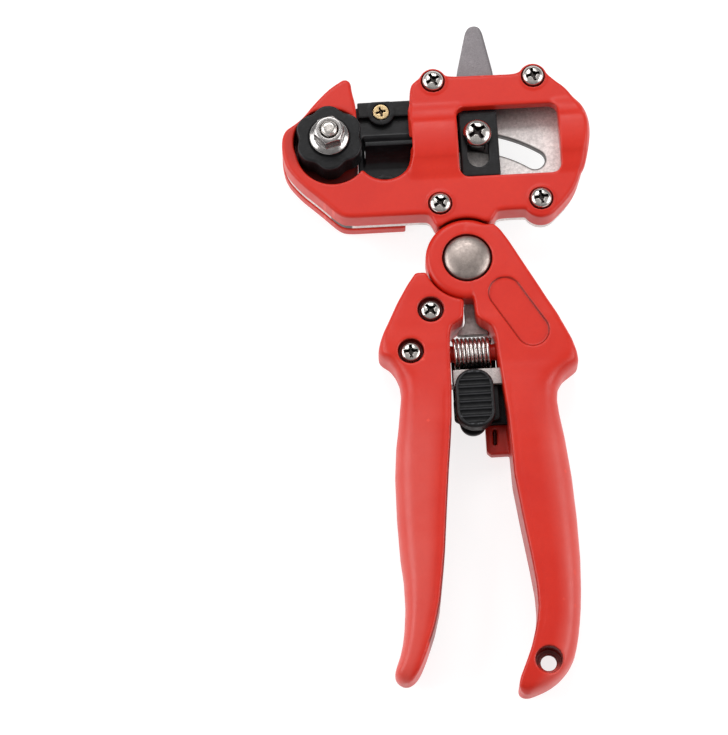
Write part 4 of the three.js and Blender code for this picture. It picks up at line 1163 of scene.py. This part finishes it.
def grafting_blade():
    top = BLADE_HIGH + 7.2
    x, y, z, place = grid((BLADE_X[0], BLADE_Y - BLADE_HALF, BLADE_LOW),
                          (BLADE_X[1], BLADE_Y + BLADE_HALF, top), 0.24)
    v = y - BLADE_Y
    sheet = both(np.abs(v) - BLADE_HALF, np.abs(z - 9.5) - 0.4, 0.15)
    outer = region(v, z, ridge_side(4.8, BLADE_HIGH - 0.01, top, 0.7))
    inner = region(v, z, ridge_side(3.9, BLADE_LOW - 0.2, top - 1.2, 0.15))
    d = either(sheet, both(outer, RIDGE_END - x, 0.12), 0.9)
    d = without(d, both(inner, RIDGE_END - x), 0.2)
    d = both(d, np.abs(x + 15.95) - 15.05, 0.12)
    for end in BLADE_X:
        notch = np.maximum(np.abs(x - end) - 0.8, (BLADE_HALF - 4.4) - np.abs(v))
        d = without(d, notch, 0.1)
    d = drilled(d, x, y, BLADE_HOLES, 1.6, None, 0.1)
    finish(net("look_grafting_blade", d, place), "slide", BLACK_STEEL, "black_steel", "grafting_blade")


def small_steel():
    """The strips under the blade, the cam's bush and nut, and the pivot's collar and rivet."""
    for row, side in enumerate((1, -1)):
        middle = BLADE_Y + side * HOLE_OFF
        near, far = sorted((BLADE_Y + side * 1.2, BLADE_Y + side * 15.3))
        outline = rounded_box(BLADE_X[0], -1.2, near, far, 1)

        def strip(x, y, outline=outline, middle=middle):
            return drilled(region(x, y, outline), x, y, [(hx, middle) for hx in HOLE_X], 1.6)

        obj = plate(f"look_clamp_strip_{row + 1}", strip, (-31.1, near), (-1, far), 7.8, 8.8, 0.15, 0.3)
        finish(obj, "slide", BLACK_STEEL, "black_steel", f"clamp_strip_{row + 1}")
    bore = 1.95
    tube = [(bore, 2.4), (2.35, 2.4), (2.5, 2.55), (2.5, 13.3), (2.35, 13.5), (bore, 13.5), (bore, 2.4)]
    bush = lathe("look_cam_bush", tube, CAM, 48)
    finish(bush, "lever", DARK_STEEL, "plate_steel", "cam_bush")

    def nut(x, y):
        return without(hexagon(x, y, 3.6, CAM), disc(x, y, CAM, bore))

    finish(plate("look_cam_nut", nut, (CAM[0] - 3.7, CAM[1] - 3.7), (CAM[0] + 3.7, CAM[1] + 3.7),
                 0.4, 2.1, 0.22, 0.2), "lever", NICKEL, "bright_nickel", "cam_nut")
    ring = [(4.3, 0), (6.8, 0), (7.2, 0.4), (7.2, 1.8), (7.0, 2.1), (4.3, 2.1), (4.3, 0)]
    collar = lathe("look_pivot_collar", ring)
    finish(collar, "frame", STEEL, "plate_steel", "pivot_collar")
    stem = [(0, 0.25), (2.4, 0.1), (3.6, 0), (4, 0.35), (4, 14.3), (RIVET_R - 0.1, 14.3),
            (RIVET_R, 14.45), (RIVET_R, 14.8)]
    dome = [(6.98 * sine(a), 15.0 + 2.05 * cosine(a)) for a in range(88, -1, -4)]
    rivet = lathe("look_pivot_rivet", stem + dome, (0, 0), 96)
    finish(rivet, "frame", DOME, "bright_nickel", "pivot_rivet")


# ---- spring and latch ----

def return_spring():
    """A compression spring along X, with a closed coil at each end."""
    turns, radius, wire, length = 9, 4.25, 0.55, 11.2
    steps, sides = int(48 / COARSE), 12
    verts, faces = [], []
    n = turns * steps
    for i in range(n + 1):
        t = i / n
        coil = t * turns
        lead = np.interp(coil, (0, 0.9, turns - 0.9, turns), (0, 0.10, 0.90, 1.0))
        angle = coil * 2 * math.pi
        radial = np.array([0, math.cos(angle), math.sin(angle)])
        centre = np.array([-0.1 + (lead - 0.5) * length, SPRING_Y, SPRING_Z]) + radial * radius
        for k in range(sides):
            a = 2 * math.pi * k / sides
            verts.append(centre + radial * wire * math.cos(a) + np.array([wire * math.sin(a), 0, 0]))
    for i in range(n):
        for k in range(sides):
            a, b = i * sides + k, i * sides + (k + 1) % sides
            faces.append((a, b, b + sides, a + sides))
    faces += [tuple(range(sides))[::-1], tuple(n * sides + k for k in range(sides))]
    spring = mesh_object("look_return_spring", verts, faces)
    spring.data.materials.append(BRIGHT)
    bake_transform(spring)
    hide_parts("return_spring")


def backing_outline():
    return soften([(-3.4, -50.4), (10.4, -50.4), (10.4, -33.6), (-6.6, -33.6), (-6.6, -47.2)], 0.8, 2)


def latch():
    """The button and its hook, the plate that guides them, and the catch on the lever."""
    lx, ly = LATCH
    x, y, z, place = grid((-6.6, -50.4, 0.2), (10.4, -24, 7.2), 0.25)
    # a black backing, with a shelf behind the spring, stands in for the shade around the latch and under
    # the spring
    d = slab(region(x, y, backing_outline()), z, 5.4, 7.2, 0.2, 0.2)
    shelf = either(brick(x, y, z, -6.4, 7.0, -34.6, -33.6, 0.2, 7.1, 0.2),
                   brick(x, y, z, -6.4, 7.0, -34.6, -24, 0.2, 1.2, 0.2), 0.2)
    finish(net("look_latch_backing", either(d, shelf, 0.3), place), "frame", DEEP_BLACK, "black_plastic",
           "latch_backing")

    def guide(x, y):
        bar = both(np.abs(x - 3.75) - 10.25, np.abs(y + 36.5) - 2.5, 0.4)
        leg = both(np.abs(x - lx) - 3.4, np.abs(y - ly + 0.5) - 6.5, 0.8)
        d = either(bar, leg, 0.6)
        return without(d, stadium(x, y, (lx, ly - 0.5), (lx, ly + 3.5), 1.7))

    bar = plate("look_latch_guide", guide, (-6.6, -52), (14, -33.8), GUIDE_LOW, GUIDE_HIGH, 0.2, 0.3)
    finish(bar, "frame", STEEL, "plate_steel", "latch_guide")

    half_x, half_y = 5.8, 9.2
    x, y, z, place = grid((lx - half_x, ly - half_y, BUTTON_LOW),
                          (lx + half_x, ly + half_y, BUTTON_HIGH), 0.2)
    flat = region(x, y, rounded_box(lx - half_x, lx + half_x, ly - half_y, ly + half_y, 5.4))
    d = slab(flat, z, BUTTON_LOW, BUTTON_HIGH, 0.9, 0.2)
    for i in range(7):
        groove = disc(y, z, (ly + (i - 3) * 2.3, BUTTON_HIGH + 0.15), 0.95)
        d = without(d, np.maximum(groove, flat + 1.0), 0.2)
    d = without(d, both(disc(x, y, (lx, ly), 1.55), z - 13))
    finish(net("look_latch_button", d, place), "latch", BLACK, "black_plastic", "latch_button")

    hook = ([(lx - 6.3, ly - 5)] + arc((lx - 0.8, ly - 5.8), 4, 180, 360, 16)
            + [(lx + 7.5, ly - 5), (lx + 7.5, ly + 6), (lx - 2, ly + 6), (lx - 2, ly - 1.6),
               (lx - 4.3, ly - 1.6), (lx - 4.3, ly + 1.7), (lx - 6.3, ly + 1.7)])
    x, y, z, place = grid((lx - 6.3, ly - 9.8, HOOK_LOW), (lx + 7.5, ly + 6, 12.7), 0.22)
    d = slab(region(x, y, soften(hook, 0.5, 2)), z, HOOK_LOW, HOOK_HIGH, 0.2, 0.2)
    d = either(d, slab(disc(x, y, (lx, ly), 1.25), z, 8.3, 12.7, 0.2), 0.2)
    finish(net("look_latch_hook", d, place), "latch", BLACK_STEEL, "black_steel", "latch_hook")

    outline = soften([(-10, -37.9), (-10, -39.2), (-4.5, -39.2), (-4.5, -41.9), (-3, -41.9),
                      (-3, -37.9)], 0.4, 2)
    catch = plate("look_latch_catch", lambda x, y: region(x, y, outline), (-10, -42), (-3, -37.8),
                  HOOK_LOW, HOOK_HIGH, 0.15, 0.2)
    finish(catch, "lever", STEEL, "plate_steel", "latch_catch")


front_shell()
rear_shell()
frame_plate()
pruning_lever()
right_grip()
left_grip()
fasteners()
anvil_fastening()
anvil_wheel()
slider()
grafting_blade()
small_steel()
return_spring()
latch()


# ---- floor, light and camera ----

def floor():
    bm = bmesh.new()
    bmesh.ops.create_grid(bm, x_segments=24, y_segments=24, size=1.6)
    mesh = bpy.data.meshes.new("floor")
    bm.to_mesh(mesh)
    bm.free()
    obj = placed("floor", mesh)
    obj.location = (0, 0, -0.0002)
    k = Look("floor_paper")
    k.colour(k.mix(k.patches(0.3, 0.7, 60, 2), linear(150, 150, 150), linear(156, 156, 156)))
    k.shader.inputs["Roughness"].default_value = 0.9
    k.shader.inputs["Specular IOR Level"].default_value = 0.2
    k.shader.inputs["Emission Color"].default_value = (1, 1, 1, 1)
    k.shader.inputs["Emission Strength"].default_value = 0.8
    mesh.materials.append(k.m)


def lamp(name, place, size, power):
    """A soft panel, turned towards the middle of the frame."""
    data = bpy.data.lights.new(name, "AREA")
    data.shape = "RECTANGLE"
    data.size, data.size_y = size
    data.energy = power
    obj = placed(name, data)
    obj.location = place
    obj.rotation_euler = (-Vector(place)).to_track_quat("-Z", "Y").to_euler()


def world():
    w = bpy.data.worlds.new("studio")
    bpy.context.scene.world = w
    w.use_nodes = True
    tree = w.node_tree
    back = tree.nodes["Background"]
    place = tree.nodes.new("ShaderNodeTexCoord")
    split = tree.nodes.new("ShaderNodeSeparateXYZ")
    ramp = tree.nodes.new("ShaderNodeValToRGB")
    tree.links.new(place.outputs["Generated"], split.inputs["Vector"])
    tree.links.new(split.outputs["Z"], ramp.inputs["Fac"])
    ramp.color_ramp.elements[0].position = 0.0
    ramp.color_ramp.elements[0].color = (0.55, 0.55, 0.56, 1)
    ramp.color_ramp.elements[1].position = 1.0
    ramp.color_ramp.elements[1].color = (0.72, 0.72, 0.72, 1)
    middle = ramp.color_ramp.elements.new(0.45)
    middle.color = (0.30, 0.30, 0.31, 1)
    tree.links.new(ramp.outputs["Color"], back.inputs["Color"])
    back.inputs["Strength"].default_value = 0.75


def camera():
    data = bpy.data.cameras.new("camera")
    data.sensor_width = 36.0
    data.lens = 195.9
    data.clip_start, data.clip_end = 0.05, 10.0
    obj = placed("camera", data)
    place = Vector((-0.05411, -0.41086, 1.14599))
    aim = Vector((-0.03286, -0.03069, 0.008))
    forward = (aim - place).normalized()
    right = Vector((0.99844, -0.05582, 0.0)).normalized()
    up = right.cross(forward)
    obj.matrix_world = Matrix((
        (right.x, up.x, -forward.x, place.x), (right.y, up.y, -forward.y, place.y),
        (right.z, up.z, -forward.z, place.z), (0, 0, 0, 1)))
    bpy.context.scene.camera = obj


floor()
world()
lamp("left", (-0.95, 0.1, 0.6), (0.9, 0.6), 7.5)
lamp("right", (0.95, -0.1, 0.6), (0.9, 0.6), 7)
lamp("top", (-0.1, 0.8, 0.95), (0.8, 0.5), 5.5)
camera()
bpy.context.scene.view_settings.view_transform = "Standard"
